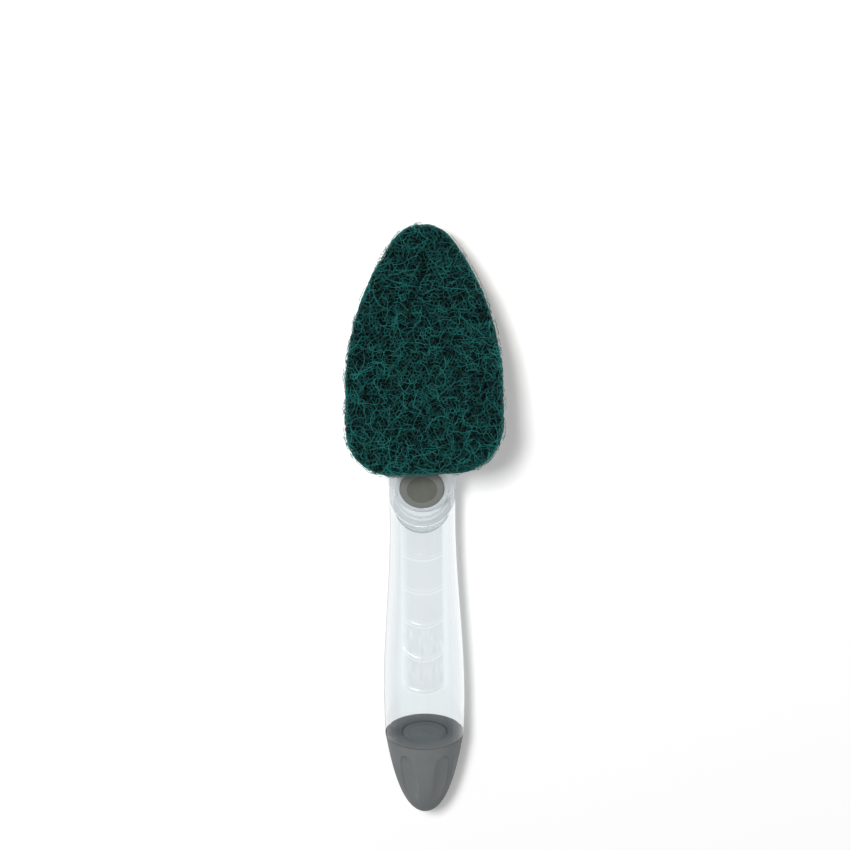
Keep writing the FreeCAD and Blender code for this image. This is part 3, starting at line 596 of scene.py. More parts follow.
class Finishes:
    """Every material of the wand, built once and handed out by finish."""

    def __init__(self) -> None:
        """Build the shared groups and the materials."""
        groups = EffectGroups()
        recipes = {
            Finish.CLEAR: ClearFinish("clear_moulding", (0.86, 0.90, 0.92), (0.91, 0.95, 0.965), milk=0.35),
            Finish.BASE: MouldedFinish("head_moulding", (0.66, 0.69, 0.69), (0.80, 0.82, 0.82), (0.32, 0.5),
                                       grain_scale=1800.0, grain_mm=0.04),
            Finish.BUTTON: MouldedFinish("button_moulding", (0.162, 0.172, 0.161), (0.228, 0.242, 0.225),
                                         (0.4, 0.55)),
            Finish.INLAY: MouldedFinish("inlay_soft", (0.104, 0.109, 0.094), (0.146, 0.152, 0.132),
                                        (0.6, 0.8), grain_scale=3600.0, grain_mm=0.08),
            # Cap and seal colours span wide to take the painted shade and highlights that the pieces store.
            Finish.CAP: MouldedFinish("cap_soft_touch", (0.102, 0.11, 0.112), (0.271, 0.292, 0.297),
                                      (0.5, 0.68), grain_scale=3000.0, grain_mm=0.06, painted_lights=True),
            Finish.STEEL: SteelFinish(),
            Finish.VALVE: MouldedFinish("valve_moulding", (0.74, 0.75, 0.74), (0.86, 0.87, 0.86),
                                        (0.3, 0.45)),
            Finish.SEAL: MouldedFinish("seal_rubber", (0.066, 0.072, 0.074), (0.2, 0.216, 0.221), (0.55, 0.8),
                                       painted_lights=True),
            Finish.NOZZLE: MouldedFinish("nozzle_rubber", (0.52, 0.56, 0.56), (0.68, 0.71, 0.71),
                                         (0.45, 0.65)),
            Finish.SPONGE: SpongeFinish(),
            Finish.PAD: FibreFinish("pad_strands", (0.002, 0.014, 0.015), (0.034, 0.36, 0.33)),
        }
        self.named = {key: recipe.material(groups) for key, recipe in recipes.items()}
        # The grip's clear finish reads the stored clarity, with its painted highlights and painted shade.
        self.panel = ClearFinish("clear_grip", (0.658, 0.668, 0.685), (0.955, 0.988, 1.0),
                                 by_clarity_and_painted_light=True).material(groups)
        # Opaque white beads that paint the highlights along the slanted joint.
        self.weld = MouldedFinish("joint_painted_highlight", (0.92, 0.95, 0.96), (0.97, 0.99, 0.995),
                                  (0.2, 0.4)).material(groups)
        # Felt near-black as painted shade in the pad's gaps.
        self.felt = FeltFinish().material(groups)
        # Understrands: a darker copy of the strand colours, painted shade for the lower layer.
        self.understrands = FibreFinish("pad_understrands", (0.0006, 0.002, 0.002),
                                        (0.003, 0.03, 0.028)).material(groups)

    def of(self, finish: Finish) -> bpy.types.Material:
        """The material of a finish."""
        return self.named[finish]


# Mesh helpers

def skin(rings: Sequence[np.ndarray], closed: bool = False) -> Mesh:
    """Join neighbouring rings of points by faces.

    Args:
        rings: rings of equal count, or single points that close an end.
        closed: whether the last ring joins the first one.

    Returns:
        All the points, and the faces as tuples of indices.
    """
    starts = np.cumsum([0] + [len(ring) for ring in rings])
    pairs = list(zip(range(len(rings) - 1), range(1, len(rings))))
    if closed:
        pairs.append((len(rings) - 1, 0))
    faces: Faces = []
    for a, b in pairs:
        na, nb = len(rings[a]), len(rings[b])
        count = max(na, nb)
        for i in range(count):
            j = (i + 1) % count
            corners = [starts[a] + i % na, starts[a] + j % na, starts[b] + j % nb, starts[b] + i % nb]
            faces.append(tuple(dict.fromkeys(int(c) for c in corners)))
    return np.vstack(rings), faces


def soften(profile: Profile, radius: float, steps: int = 3, closed: bool = False) -> Profile:
    """Round the corners of a profile by short curves.

    Args:
        profile: corner points; a third number is a corner's own radius.
        radius: length cut from each side of a corner, at most, and not more than a share of the side.
        steps: curve points per corner, less one.
        closed: whether the profile is a loop.

    Returns:
        The rounded profile.
    """
    points = [np.array(p[:2], float) for p in profile]
    count = len(points)
    out: list[np.ndarray] = []
    for i, corner in enumerate(points):
        if not closed and i in (0, count - 1):
            out.append(corner)
            continue
        before, after = points[i - 1] - corner, points[(i + 1) % count] - corner
        own = profile[i][2] if len(profile[i]) > 2 else radius
        back, ahead = np.linalg.norm(before), np.linalg.norm(after)
        cut = min(own, CORNER_SHARE * back, CORNER_SHARE * ahead)
        start, end = corner + before / back * cut, corner + after / ahead * cut
        for k in range(steps + 1):
            t = k / steps
            out.append((1 - t) ** 2 * start + 2 * t * (1 - t) * corner + t**2 * end)
    return [(float(p[0]), float(p[1])) for p in out]


def around(count: int) -> np.ndarray:
    """Evenly spaced angles of a full turn."""
    return np.arange(count) * (2 * math.pi / count)


def about_axis(place: np.ndarray | float, radius: np.ndarray | float, count: int) -> np.ndarray:
    """Ring about the handle's axis, whose place and radius may change on the way round."""
    angle = around(count)
    return np.column_stack([radius * np.sin(angle), np.broadcast_to(place, count), radius * np.cos(angle)])


def rings_along(profile: Profile, count: int) -> list[np.ndarray]:
    """Turn a profile of (place, radius) about the handle's axis; a corner on the axis is one point.

    Args:
        profile: the corners.
        count: points of a ring.

    Returns:
        A ring for each corner.
    """
    return [
        about_axis(place, radius, count) if radius > TINY else np.array([[0.0, place, 0.0]])
        for place, radius in profile
    ]


def at_level(flat: np.ndarray, level: float) -> np.ndarray:
    """Flat points as points at a level."""
    return np.column_stack([flat, np.full(len(flat), level)])


def outward_of(rim: np.ndarray) -> np.ndarray:
    """Outward directions at the points of a closed, right-handed flat outline.

    Args:
        rim: points of the outline.

    Returns:
        Unit directions as (x, y).
    """
    ahead = np.roll(rim, -1, axis=0) - np.roll(rim, 1, axis=0)
    outward = np.column_stack([ahead[:, 1], -ahead[:, 0]])
    return outward / np.linalg.norm(outward, axis=1)[:, None]


def with_tips(rings: list[np.ndarray]) -> list[np.ndarray]:
    """Rings of a rod with a middle point added at both ends."""
    first, last = (ring.mean(axis=0, keepdims=True) for ring in (rings[0], rings[-1]))
    return [first, *rings, last]


def smooth_step(value: np.ndarray | float) -> np.ndarray:
    """Smooth rise from 0 to 1 over the span 0 to 1."""
    t = np.clip(value, 0.0, 1.0)
    return t * t * (3 - 2 * t)


def bell(offset: np.ndarray, width: float) -> np.ndarray:
    """Bell-shaped line, 1 in its middle, at offsets from there."""
    return np.exp(-((offset / width) ** 2))


class Workshop:
    """Makes the wand's pieces: mesh, material, body and replaced nodes in one call."""

    def __init__(self, frame: dict, finishes: Finishes) -> None:
        """Keep the frame and the materials."""
        self.frame = frame
        self.finishes = finishes

    def piece(
        self,
        name: str,
        space: Space,
        points: np.ndarray,
        faces: Faces,
        body: str,
        finish: Finish,
        replaces: Sequence[str] = (),
        sharp: float | None = 34.0,
        material: bpy.types.Material | None = None,
    ) -> bpy.types.Object:
        """Make a piece that rides on a body.

        Args:
            name: name of the piece.
            space: space that its points are in.
            points: points in mm.
            faces: tuples of point indices.
            body: body that the piece moves with.
            finish: finish of the piece.
            replaces: CAD nodes that it stands for.
            sharp: angle in degrees above which an edge stays sharp, or None to shade as it is.
            material: another material than the finish's own.

        Returns:
            The new object.
        """
        mesh = bpy.data.meshes.new(name)
        mesh.from_pydata(space.to_part(points).tolist(), [], faces)
        if sharp is None:
            mesh.shade_smooth()
        else:
            self._shade(mesh, math.radians(sharp))
        mesh.materials.append(material or self.finishes.of(finish))
        piece = bpy.data.objects.new(name, mesh)
        bpy.context.scene.collection.objects.link(piece)
        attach(piece, body)
        if replaces:
            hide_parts(*replaces)
        LOG.info("%s: %d faces on %s", name, len(mesh.polygons), body)
        return piece

    @staticmethod
    def _shade(mesh: bpy.types.Mesh, limit: float) -> None:
        """Turn the faces outwards and shade them smooth up to an angle.

        Args:
            mesh: mesh of a piece.
            limit: angle in radians.
        """
        work = bmesh.new()
        work.from_mesh(mesh)
        bmesh.ops.recalc_face_normals(work, faces=work.faces)
        for face in work.faces:
            face.smooth = True
        for edge in work.edges:
            edge.smooth = len(edge.link_faces) == 2 and edge.calc_face_angle(0.0) < limit
        work.to_mesh(mesh)
        work.free()

    def dress(self, node: str, finish: Finish) -> None:
        """Give a CAD node that stays its material.

        Args:
            node: name of the node.
            finish: its finish.
        """
        for place in self.frame["nodes"][node].material_slots:
            place.material = self.finishes.of(finish)
        LOG.info("%s: dressed in %s", node, finish.value)


def store_values(piece: bpy.types.Object, name: str, values: np.ndarray) -> None:
    """Store one number for each point of a piece under a name that its material reads."""
    store = piece.data.attributes.new(name, "FLOAT", "POINT")
    store.data.foreach_set("value", values.astype(np.float32))


# Sub-assemblies

@dataclass
class ThreadPair:
    """Two screw-thread beads about the handle's axis, half a turn apart, that fade at their ends."""

    start: float
    root: float
    crest: float
    half_root: float
    half_crest: float
    phase: float = 0.0
    turns: float = 0.62
    lead: float = 6.667
    fade_share: float = 0.08
    steps: int = 72

    def bead(self, phase: float) -> Mesh:
        """One bead.

        Args:
            phase: angle of its start in radians.

        Returns:
            Points in the axis space, and faces.
        """
        half = [(-self.half_root, self.root), (-self.half_crest, self.crest)]
        section = half + [(-along, radius) for along, radius in reversed(half)]
        rings = []
        for share in np.arange(self.steps + 1) / self.steps:
            fade = smooth_step(share / self.fade_share) * smooth_step((1 - share) / self.fade_share)
            angle = phase + 2 * math.pi * self.turns * share
            middle = self.start + self.lead * self.turns * share
            ring = []
            for along, radius in section:
                r = self.root + (radius - self.root) * fade
                ring.append((r * math.sin(angle), middle + along, r * math.cos(angle)))
            rings.append(np.array(ring))
        return skin(with_tips(rings))

    def build(self, shop: Workshop, name: str, body: str, finish: Finish) -> None:
        """Make both beads.

        Args:
            shop: the workshop.
            name: name of the pieces, which a number follows.
            body: body that they move with.
            finish: their finish.
        """
        for i in range(2):
            shop.piece(f"{name}_{i + 1}", Space.AXIS, *self.bead(self.phase + math.pi * i), body, finish)


@dataclass(frozen=True)
class WallTones:
    """How clear and glossy the handle's wall looks, with painted highlights and painted shade: gains and
    losses as shares, widths in mm.

    A line is a painted highlight: its gain, its distance inside the panel's edge and its width. A flank is
    painted light along a side, darker on the left and lighter on the right: its side, the sine of its angle
    from the front, the sine that it grows over, and its gain.
    """

    plain: float = 0.78
    lap_gain: float = 0.3
    panel_loss: float = 0.62
    top_loss: float = 0.12
    top_room: float = 3.0
    top_soft: float = 6.0
    soft: float = 0.8
    left_soft: float = 3.5
    front_soft: float = 4.0
    end_room: float = 0.9
    # Painted highlights along the ribs' edges.
    rib_gain: float = 0.6
    last_rib_gain: float = 0.9
    rib_width: float = 0.45
    upper_rib_gain: float = 0.3
    upper_rib_width: float = 0.3
    # Painted highlights along the panel's right and left edges.
    right_line: tuple[float, float, float] = (1.0, 0.1, 0.8)
    left_line: tuple[float, float, float] = (0.3, 0.3, 0.5)
    # Painted light at the flanks: a lighter right flank, painted shade along the left flank and its edge.
    painted_flank_light: tuple[tuple[float, ...], ...] = (
        (1.0, 0.88, 0.08, 0.25), (-1.0, 0.95, 0.04, -0.6), (-1.0, 0.55, 0.2, -0.2),
    )
    streak_gain: float = 0.7
    streak_soft: float = 4.0
    streak_room: float = 2.0
    streak_pocket: int = 2
    skin: float = 0.3
    mouth_room: float = 0.2
    gloss_loss: float = 0.9
    parting: Span = (0.93, 0.04)


@dataclass(frozen=True)
class FlowStreaks:
    """Lengthwise flow streaks of the moulding, bright and dark, about zero.

    A sway is its height, its length over a radian and its phase. A break is its length over a radian,
    its lean and its phase. A wave is its height, its radians in a mm, its share of the sway and its phase.
    """

    sways: tuple[tuple[float, float, float], ...] = ((0.7, 5.3, 0.0), (0.5, 2.1, 1.0))
    breaks: tuple[tuple[float, float, float], ...] = ((4.1, 0.4, 0.0), (2.3, -0.6, 0.8))
    break_base: float = 0.3
    waves: tuple[tuple[float, float, float, float], ...] = ((0.35, 1.25, 1.0, 0.0), (0.3, 2.7, 1.6, 1.3))

    def shade(self, x: np.ndarray, place: np.ndarray) -> np.ndarray:
        """Brightness at points seen from the front.

        Args:
            x: distances from the middle, seen from the front.
            place: places along the axis.

        Returns:
            One value for each point.
        """
        sway = sum(height * np.sin(place / length + phase) for height, length, phase in self.sways)
        broken = math.prod(np.sin(place / length + lean * x + phase) for length, lean, phase in self.breaks)
        wave = sum(height * np.sin(rate * x + share * sway + phase)
                   for height, rate, share, phase in self.waves)
        return (broken + self.break_base) * wave


@dataclass
class ClearHandle:
    """The clear soap handle with its finger panel, slanted joint and threaded spigot."""

    neck: float = 13.0
    belly: float = 16.25
    mouth: float = MOUTH
    joint_at: float = -8.6
    mouth_at: float = MOUTH_AT
    neck_straight: float = 11.4
    belly_setback: float = 18.2
    wall: float = 2.2
    belly_wall: float = 1.7
    room_from: float = -40.0
    room_to: float = -84.0
    joint_lean: float = 34.0
    joint_bevel: float = 0.35
    lap: float = 5.0
    bead: float = 0.24
    bead_sink: float = 0.1
    lap_set: float = 0.2
    panel_half: float = 8.6
    pocket_depth: float = 0.8
    pocket_pitch: float = 14.15
    pocket_rib: float = 1.5
    pocket_sags: tuple[float, ...] = (1.8, 2.0, 3.2, 3.6, 2.6)
    pocket_edge: float = 0.9
    first_rib: float = -31.2
    panel_top: float = -22.37
    spigot: float = 11.2
    spigot_bore: float = 9.4
    spigot_length: float = 7.0
    collar: float = 0.3
    collar_fit: float = 0.02
    # Painted shade on the collar, darker towards its rim.
    collar_painted_shade: float = 0.42
    collar_rim_corner: float = 0.05
    collar_bore_corner: float = 0.1
    spigot_corner: float = 0.5
    foot_lip: float = 0.3
    foot_height: float = 4.0
    thread_from: float = 1.2
    thread_height: float = 0.7
    thread_sink: float = 0.05
    thread_root: float = 0.9
    thread_crest: float = 0.35
    tones: WallTones = WallTones()
    streaks: FlowStreaks = FlowStreaks()
    around: int = 192
    rows: int = 236
    inner_rows: int = 60
    sharp: float = 40.0
    bead_corners: int = 8

    def outer(self, place: np.ndarray) -> np.ndarray:
        """Outer radius at places along the axis.

        Args:
            place: places along the axis.

        Returns:
            The radii.
        """
        neck_end = self.joint_at - self.neck_straight
        belly_at = self.mouth_at + self.belly_setback
        flare = smooth_step((neck_end - place) / (neck_end - belly_at))
        tail = np.clip((belly_at - place) / self.belly_setback, 0, 1) ** 2
        return self.neck + (self.belly - self.neck) * flare - (self.belly - self.mouth) * tail

    def inner(self, place: np.ndarray) -> np.ndarray:
        """Inner radius at places along the axis.

        Args:
            place: places along the axis.

        Returns:
            The radii.
        """
        rise = smooth_step((self.room_from - place) / (self.room_from - self.room_to))
        narrow, wide = self.neck - self.wall, self.mouth - self.belly_wall
        return narrow + (wide - narrow) * rise

    def ribs(self, x: np.ndarray) -> list[np.ndarray]:
        """Places of the sagging ribs below the pockets, at points seen from the front."""
        bow = (x / self.panel_half) ** 2
        return [self.first_rib - i * self.pocket_pitch + sag * bow for i, sag in enumerate(self.pocket_sags)]

    def dent(self, x: np.ndarray, place: np.ndarray) -> np.ndarray:
        """Depth of the finger pockets at points seen from the front.

        Args:
            x: distances from the middle, seen from the front.
            place: places along the axis.

        Returns:
            The depths.
        """
        side = smooth_step((self.panel_half - np.abs(x)) / self.pocket_edge)
        total = np.zeros_like(x)
        top = self.panel_top + self.pocket_sags[0] * (x / self.panel_half) ** 2
        for rib in self.ribs(x):
            below = smooth_step((top - place) / self.pocket_edge)
            above = smooth_step((place - rib - self.pocket_rib / 2) / self.pocket_edge)
            total += side * below * above
            top = rib - self.pocket_rib / 2
        return self.pocket_depth * total

    def behind_joint(self, place: np.ndarray, height: np.ndarray | float) -> np.ndarray:
        """Distance along the axis from the slanted joint back to points at a height."""
        return self.joint_at - height * math.tan(math.radians(self.joint_lean)) - place

    def painted_highlight_lines(self, x: np.ndarray, place: np.ndarray, within: np.ndarray) -> np.ndarray:
        """Painted highlights: bright lines along the ribs and the sides of the finger panel.

        Args:
            x: distances from the middle, seen from the front.
            place: places along the axis.
            within: 1 along the panel's length, 0 beyond its ends.

        Returns:
            The painted highlight at each point, as a gain in clearness.
        """
        tones, half = self.tones, self.pocket_rib / 2
        lines = np.zeros_like(x)
        gains = [tones.rib_gain] * (len(self.pocket_sags) - 1) + [tones.last_rib_gain]
        for rib, gain in zip(self.ribs(x), gains):
            lines += gain * bell(place - rib + half, tones.rib_width)
            lines += tones.upper_rib_gain * bell(place - rib - half, tones.upper_rib_width)
        lines *= np.abs(x) < self.panel_half
        for away, (gain, inset, width) in ((x, tones.right_line), (-x, tones.left_line)):
            lines += gain * within * bell(away - self.panel_half + inset, width)
        return lines

    def clarity_and_painted_light(self, points: np.ndarray) -> np.ndarray:
        """How clear the wall is, with painted light: less on the finger panel, painted shade along the left
        flank, a lighter right flank, and painted highlights along the ribs and panel edges.

        Args:
            points: points of the wall in the axis space.

        Returns:
            One value from 0 to 1 for each point.
        """
        (x, place, height), tones = points.T, self.tones
        low_end = self.ribs(0.0)[-1] - self.pocket_rib / 2
        lapped = smooth_step((self.lap / 2 - self.behind_joint(place, height)) / tones.soft)
        panel_end = self.ribs(x)[-1] - self.pocket_rib / 2 - tones.end_room
        within = smooth_step((place - panel_end) / tones.soft) * (1 - lapped)
        left = smooth_step((x + self.panel_half) / tones.left_soft)
        panel = within * left * smooth_step((self.panel_half - x) / tones.soft)
        low_pockets = self.first_rib - tones.streak_pocket * self.pocket_pitch
        deep = smooth_step((low_pockets - place) / tones.streak_soft)
        deep *= smooth_step((place - low_end - tones.streak_room) / tones.streak_soft)
        # Painted highlights along the ribs and the panel's edges.
        lines = self.painted_highlight_lines(x, place, within)
        lines += tones.streak_gain * deep * panel * self.streaks.shade(x, place)
        # Painted shade along the left flank and a painted lighter right flank.
        radius = np.hypot(x, height)
        painted_flank_light = sum(gain * smooth_step((side * x / radius - start) / growth)
                     for side, start, growth, gain in tones.painted_flank_light)
        front = smooth_step(height / tones.front_soft + 0.5)
        top = smooth_step((place - self.first_rib + tones.top_room) / tones.top_soft)
        dim = tones.panel_loss + tones.top_loss * top
        clear = tones.plain + painted_flank_light + tones.lap_gain * lapped + front * (lines - dim * panel)
        return np.where(radius > self.inner(place) + tones.skin, np.clip(clear, 0, 1), 1.0)

    def gloss(self, points: np.ndarray) -> np.ndarray:
        """How glossy the wall is: only outside, less in the pockets and at one flank's parting line.

        Args:
            points: points of the wall in the axis space.

        Returns:
            One value from 0 to 1 for each point.
        """
        (x, place, height), tones = points.T, self.tones
        radius = np.hypot(x, height)
        outside = (radius > self.inner(place) + tones.skin) & (place > self.mouth_at + tones.mouth_room)
        pocket = self.dent(x, place) * (height > 0) / self.pocket_depth
        parting = smooth_step((-x / radius - tones.parting[0]) / tones.parting[1])
        return np.where(outside, 1 - tones.gloss_loss * parting - tones.gloss_loss * pocket, 0.0)

    def joint_place(self, radius: float) -> np.ndarray:
        """Places of the slanted joint around a radius."""
        return self.behind_joint(np.zeros(self.around), radius * np.cos(around(self.around)))

    def wall_rings(self) -> list[np.ndarray]:
        """Rings of the closed clear wall: outside, end and inside.

        Returns:
            The rings in the axis space.
        """
        angle = around(self.around)
        end, foot = self.mouth_at + self.collar, self.mouth_at + self.wall
        start, room = self.joint_place(self.neck), self.mouth - self.belly_wall
        rings = []
        for k in range(self.rows + 1):
            place = start + (end - start) * (k / self.rows)
            radius = self.outer(place)
            radius = radius - np.where(np.cos(angle) > 0, self.dent(radius * np.sin(angle), place), 0.0)
            if k == 0:
                radius = radius - self.joint_bevel
            rings.append(about_axis(place, radius, self.around))
        top = foot + self.foot_height
        rings += rings_along([
            (end, self.mouth - self.foot_lip),
            (end, self.spigot_bore),
            (foot, self.spigot_bore),
            (foot, room),
            (top, room),
        ], self.around)
        back = self.joint_place(self.neck - self.wall)
        for k in range(1, self.inner_rows + 1):
            place = top + (back - top) * (k / self.inner_rows)
            rings.append(about_axis(place, self.inner(place), self.around))
        return rings

    def highlight_bead(self, shop: Workshop, name: str, radius: float, behind: float) -> None:
        """Lay a white bead round the slanted joint: a painted highlight along the joint's edge.

        Args:
            shop: the workshop.
            name: name of the piece.
            radius: radius of the bead's middle about the axis.
            behind: distance of the bead behind the joint along the axis.
        """
        middle = self.joint_place(radius) - behind
        rings = []
        for turn in around(self.bead_corners):
            place, out = middle - self.bead * math.sin(turn), radius + self.bead * math.cos(turn)
            rings.append(about_axis(place, out, self.around))
        shop.piece(name, Space.AXIS, *skin(rings, closed=True), "handle", Finish.CLEAR,
                   material=shop.finishes.weld)

    def build(self, shop: Workshop) -> None:
        """Make the handle's clear wall, its white beads of painted highlight along the joint, and the grey
        collar with its spigot and thread.

        Args:
            shop: the workshop.
        """
        points, faces = skin(self.wall_rings(), closed=True)
        wall = shop.piece("handle_wall", Space.AXIS, points, faces, "handle", Finish.CLEAR, ["handle_shell"],
                          self.sharp, shop.finishes.panel)
        # The stored clarity holds painted highlights and painted shade.
        store_values(wall, "clarity_and_painted_light", self.clarity_and_painted_light(points))
        store_values(wall, "gloss", self.gloss(points))
        # White beads: painted highlights along the joint and the lap's edge.
        self.highlight_bead(shop, "joint_bead", self.neck - self.bead_sink, 0.0)
        self.highlight_bead(shop, "lap_bead", self.neck - self.wall + self.bead_sink, self.lap - self.lap_set)
        end, top = self.mouth_at - self.spigot_length, self.mouth_at + self.collar - self.collar_fit
        rim = self.mouth - self.collar_fit
        profile = soften([
            (top, rim, self.collar_rim_corner),
            (self.mouth_at, rim, self.collar_rim_corner),
            (self.mouth_at, self.spigot),
            (end, self.spigot),
            (end, self.spigot_bore),
            (top, self.spigot_bore, self.collar_bore_corner),
        ], self.spigot_corner, closed=True)
        points, faces = skin(rings_along(profile, self.around), closed=True)
        collar = shop.piece("spigot_collar", Space.AXIS, points, faces, "handle", Finish.SEAL)
        # Painted shade on the collar, darker towards the rim.
        reach = (np.hypot(points[:, 0], points[:, 2]) - self.spigot) / (self.mouth - self.spigot)
        store_values(collar, "painted_light", -self.collar_painted_shade * smooth_step(reach))
        thread = ThreadPair(end + self.thread_from, self.spigot - self.thread_sink,
                            self.spigot + self.thread_height, self.thread_root, self.thread_crest)
        thread.build(shop, "spigot_thread", "handle", Finish.SEAL)


@dataclass
class TwistCap:
    """The grey rounded end cap with finger flutes, a plug seal and thread beads."""

    mouth_at: float = MOUTH_AT
    mouth: float = MOUTH
    length: float = 35.5
    shoulder: tuple[float, float] = (12.0, 13.9)
    tip: float = 10.0
    bore: float = 12.3
    ledge: float = 8.5
    plug: float = 9.0
    plug_dish: float = 0.6
    flute_angles: tuple[float, ...] = (-30.0, 30.0, 150.0, 210.0)
    flute_radius: float = 12.0
    flute_depth: float = 0.75
    flute_from: float = 0.2
    flute_to: float = 0.5
    # Painted shade along the flutes' outer edges and painted highlights along their inner edges.
    crease_painted_shade: float = 0.3
    ridge_painted_highlight: float = 0.14
    accent_inset: float = 0.1
    accent_width: float = 0.13
    accent_end: float = 27.0
    accent_fade: float = 9.0
    thread_from: float = 6.0
    thread_height: float = 0.65
    thread_sink: float = 0.05
    thread_root: float = 0.8
    thread_crest: float = 0.3
    rim_gap: float = 0.06
    rim_width: float = 0.4
    floor_dish: float = 1.0
    bore_corner: float = 0.35
    plug_sink: float = 0.5
    plug_well: float = 0.9
    plug_corner: float = 0.3
    plug_shares: tuple[float, ...] = (0.88, 0.8, 0.3, 0.25)
    probe: float = 0.001
    around: int = 360
    rows: int = 120

    def outline(self, share: float) -> tuple[float, float]:
        """Point of the smooth outline.

        Args:
            share: share of the way from the mouth to the tip.

        Returns:
            The point as (place, radius).
        """
        poles = [(0.0, self.mouth), self.shoulder, (self.length, self.tip), (self.length, 0.0)]
        rest = 1 - share
        weights = (rest**3, 3 * rest**2 * share, 3 * rest * share**2, share**3)
        reach = sum(w * p[0] for w, p in zip(weights, poles))
        return self.mouth_at - reach, sum(w * p[1] for w, p in zip(weights, poles))

    def over(self, share: float, rise: float) -> np.ndarray:
        """Point at a height over the outline on the front.

        Args:
            share: share of the way along the outline.
            rise: height over it.

        Returns:
            The point in the axis space.
        """
        here, ahead = np.array(self.outline(share)), np.array(self.outline(share + self.probe))
        tangent = (ahead - here) / np.linalg.norm(ahead - here)
        return np.array([0.0, here[0] + tangent[1] * rise, here[1] - tangent[0] * rise])

    def fluted(self, ring: np.ndarray) -> tuple[np.ndarray, np.ndarray]:
        """Press the finger flutes into a ring of the outside.

        Args:
            ring: points of a ring of the smooth outline.

        Returns:
            The points moved off the axes of the flutes' round-ended scoops, and painted light for each point:
            painted shade along a flute's outer edge, a painted highlight along its inner edge.
        """
        rise = self.flute_radius - self.flute_depth
        deep, ahead = self.over(self.flute_from, rise), self.over(self.flute_to, rise)
        run = (ahead - deep) / np.linalg.norm(ahead - deep)
        out, painted_light = ring.copy(), np.zeros(len(ring))
        for degrees in self.flute_angles:
            c, s = math.cos(math.radians(degrees)), math.sin(math.radians(degrees))
            turned = np.array([[c, 0, s], [0, 1, 0], [-s, 0, c]])
            along = np.maximum((out - turned @ deep) @ (turned @ run), 0.0)
            away = out - (turned @ deep + along[:, None] * (turned @ run))
            gap = np.linalg.norm(away, axis=1)
            inside = self.flute_radius - gap
            out = out + away / gap[:, None] * np.maximum(inside, 0.0)[:, None]
            outer = np.sign(s * c) * (ring[:, 0] * c - ring[:, 2] * s) > 0
            line = bell(inside - self.accent_inset, self.accent_width)
            painted_light += np.where(outer, -self.crease_painted_shade, self.ridge_painted_highlight) * line
        return out, painted_light * smooth_step((ring[:, 1] - self.mouth_at + self.accent_end) / self.accent_fade)

    def build(self, shop: Workshop) -> None:
        """Make the cap, its plug and its thread beads.

        Args:
            shop: the workshop.
        """
        ledge, top = self.mouth_at - self.ledge, self.mouth_at - self.rim_gap
        profile = [self.outline(k / self.rows) for k in range(self.rows, -1, -1)]
        smooth = rings_along([(min(place, top), radius) for place, radius in profile], self.around)
        rings, painted_lights = (list(part) for part in zip(*(self.fluted(ring) for ring in smooth)))
        rings += rings_along(soften([
            (top, self.mouth - self.rim_width),
            (top, self.bore),
            (ledge, self.bore),
            (ledge, self.plug),
            (ledge - self.floor_dish, 0.0),
        ], self.bore_corner), self.around)
        points, faces = skin(rings)
        cap = shop.piece("twist_cap", Space.AXIS, points, faces, "cap", Finish.CAP, ["end_cap"])
        # Store the flutes' painted shade and painted highlights.
        outside = np.concatenate(painted_lights)
        store_values(cap, "painted_light", np.pad(outside, (0, len(points) - len(outside))))
        lip, slope, step, middle = (self.plug * share for share in self.plug_shares)
        foot, dish, well = ledge - self.plug_sink, top - self.plug_dish, top - self.plug_well
        plug = soften([
            (foot, 0.0),
            (foot, self.plug),
            (top, self.plug),
            (top, lip),
            (dish, slope),
            (dish, step),
            (well, middle),
            (well, 0.0),
        ], self.plug_corner)
        shop.piece("cap_plug", Space.AXIS, *skin(rings_along(plug, self.around // 2)), "cap", Finish.SEAL)
        thread = ThreadPair(self.mouth_at - self.thread_from, self.bore + self.thread_sink,
                            self.bore - self.thread_height, self.thread_root, self.thread_crest, math.pi / 2)
        thread.build(shop, "cap_thread", "cap", Finish.CAP)


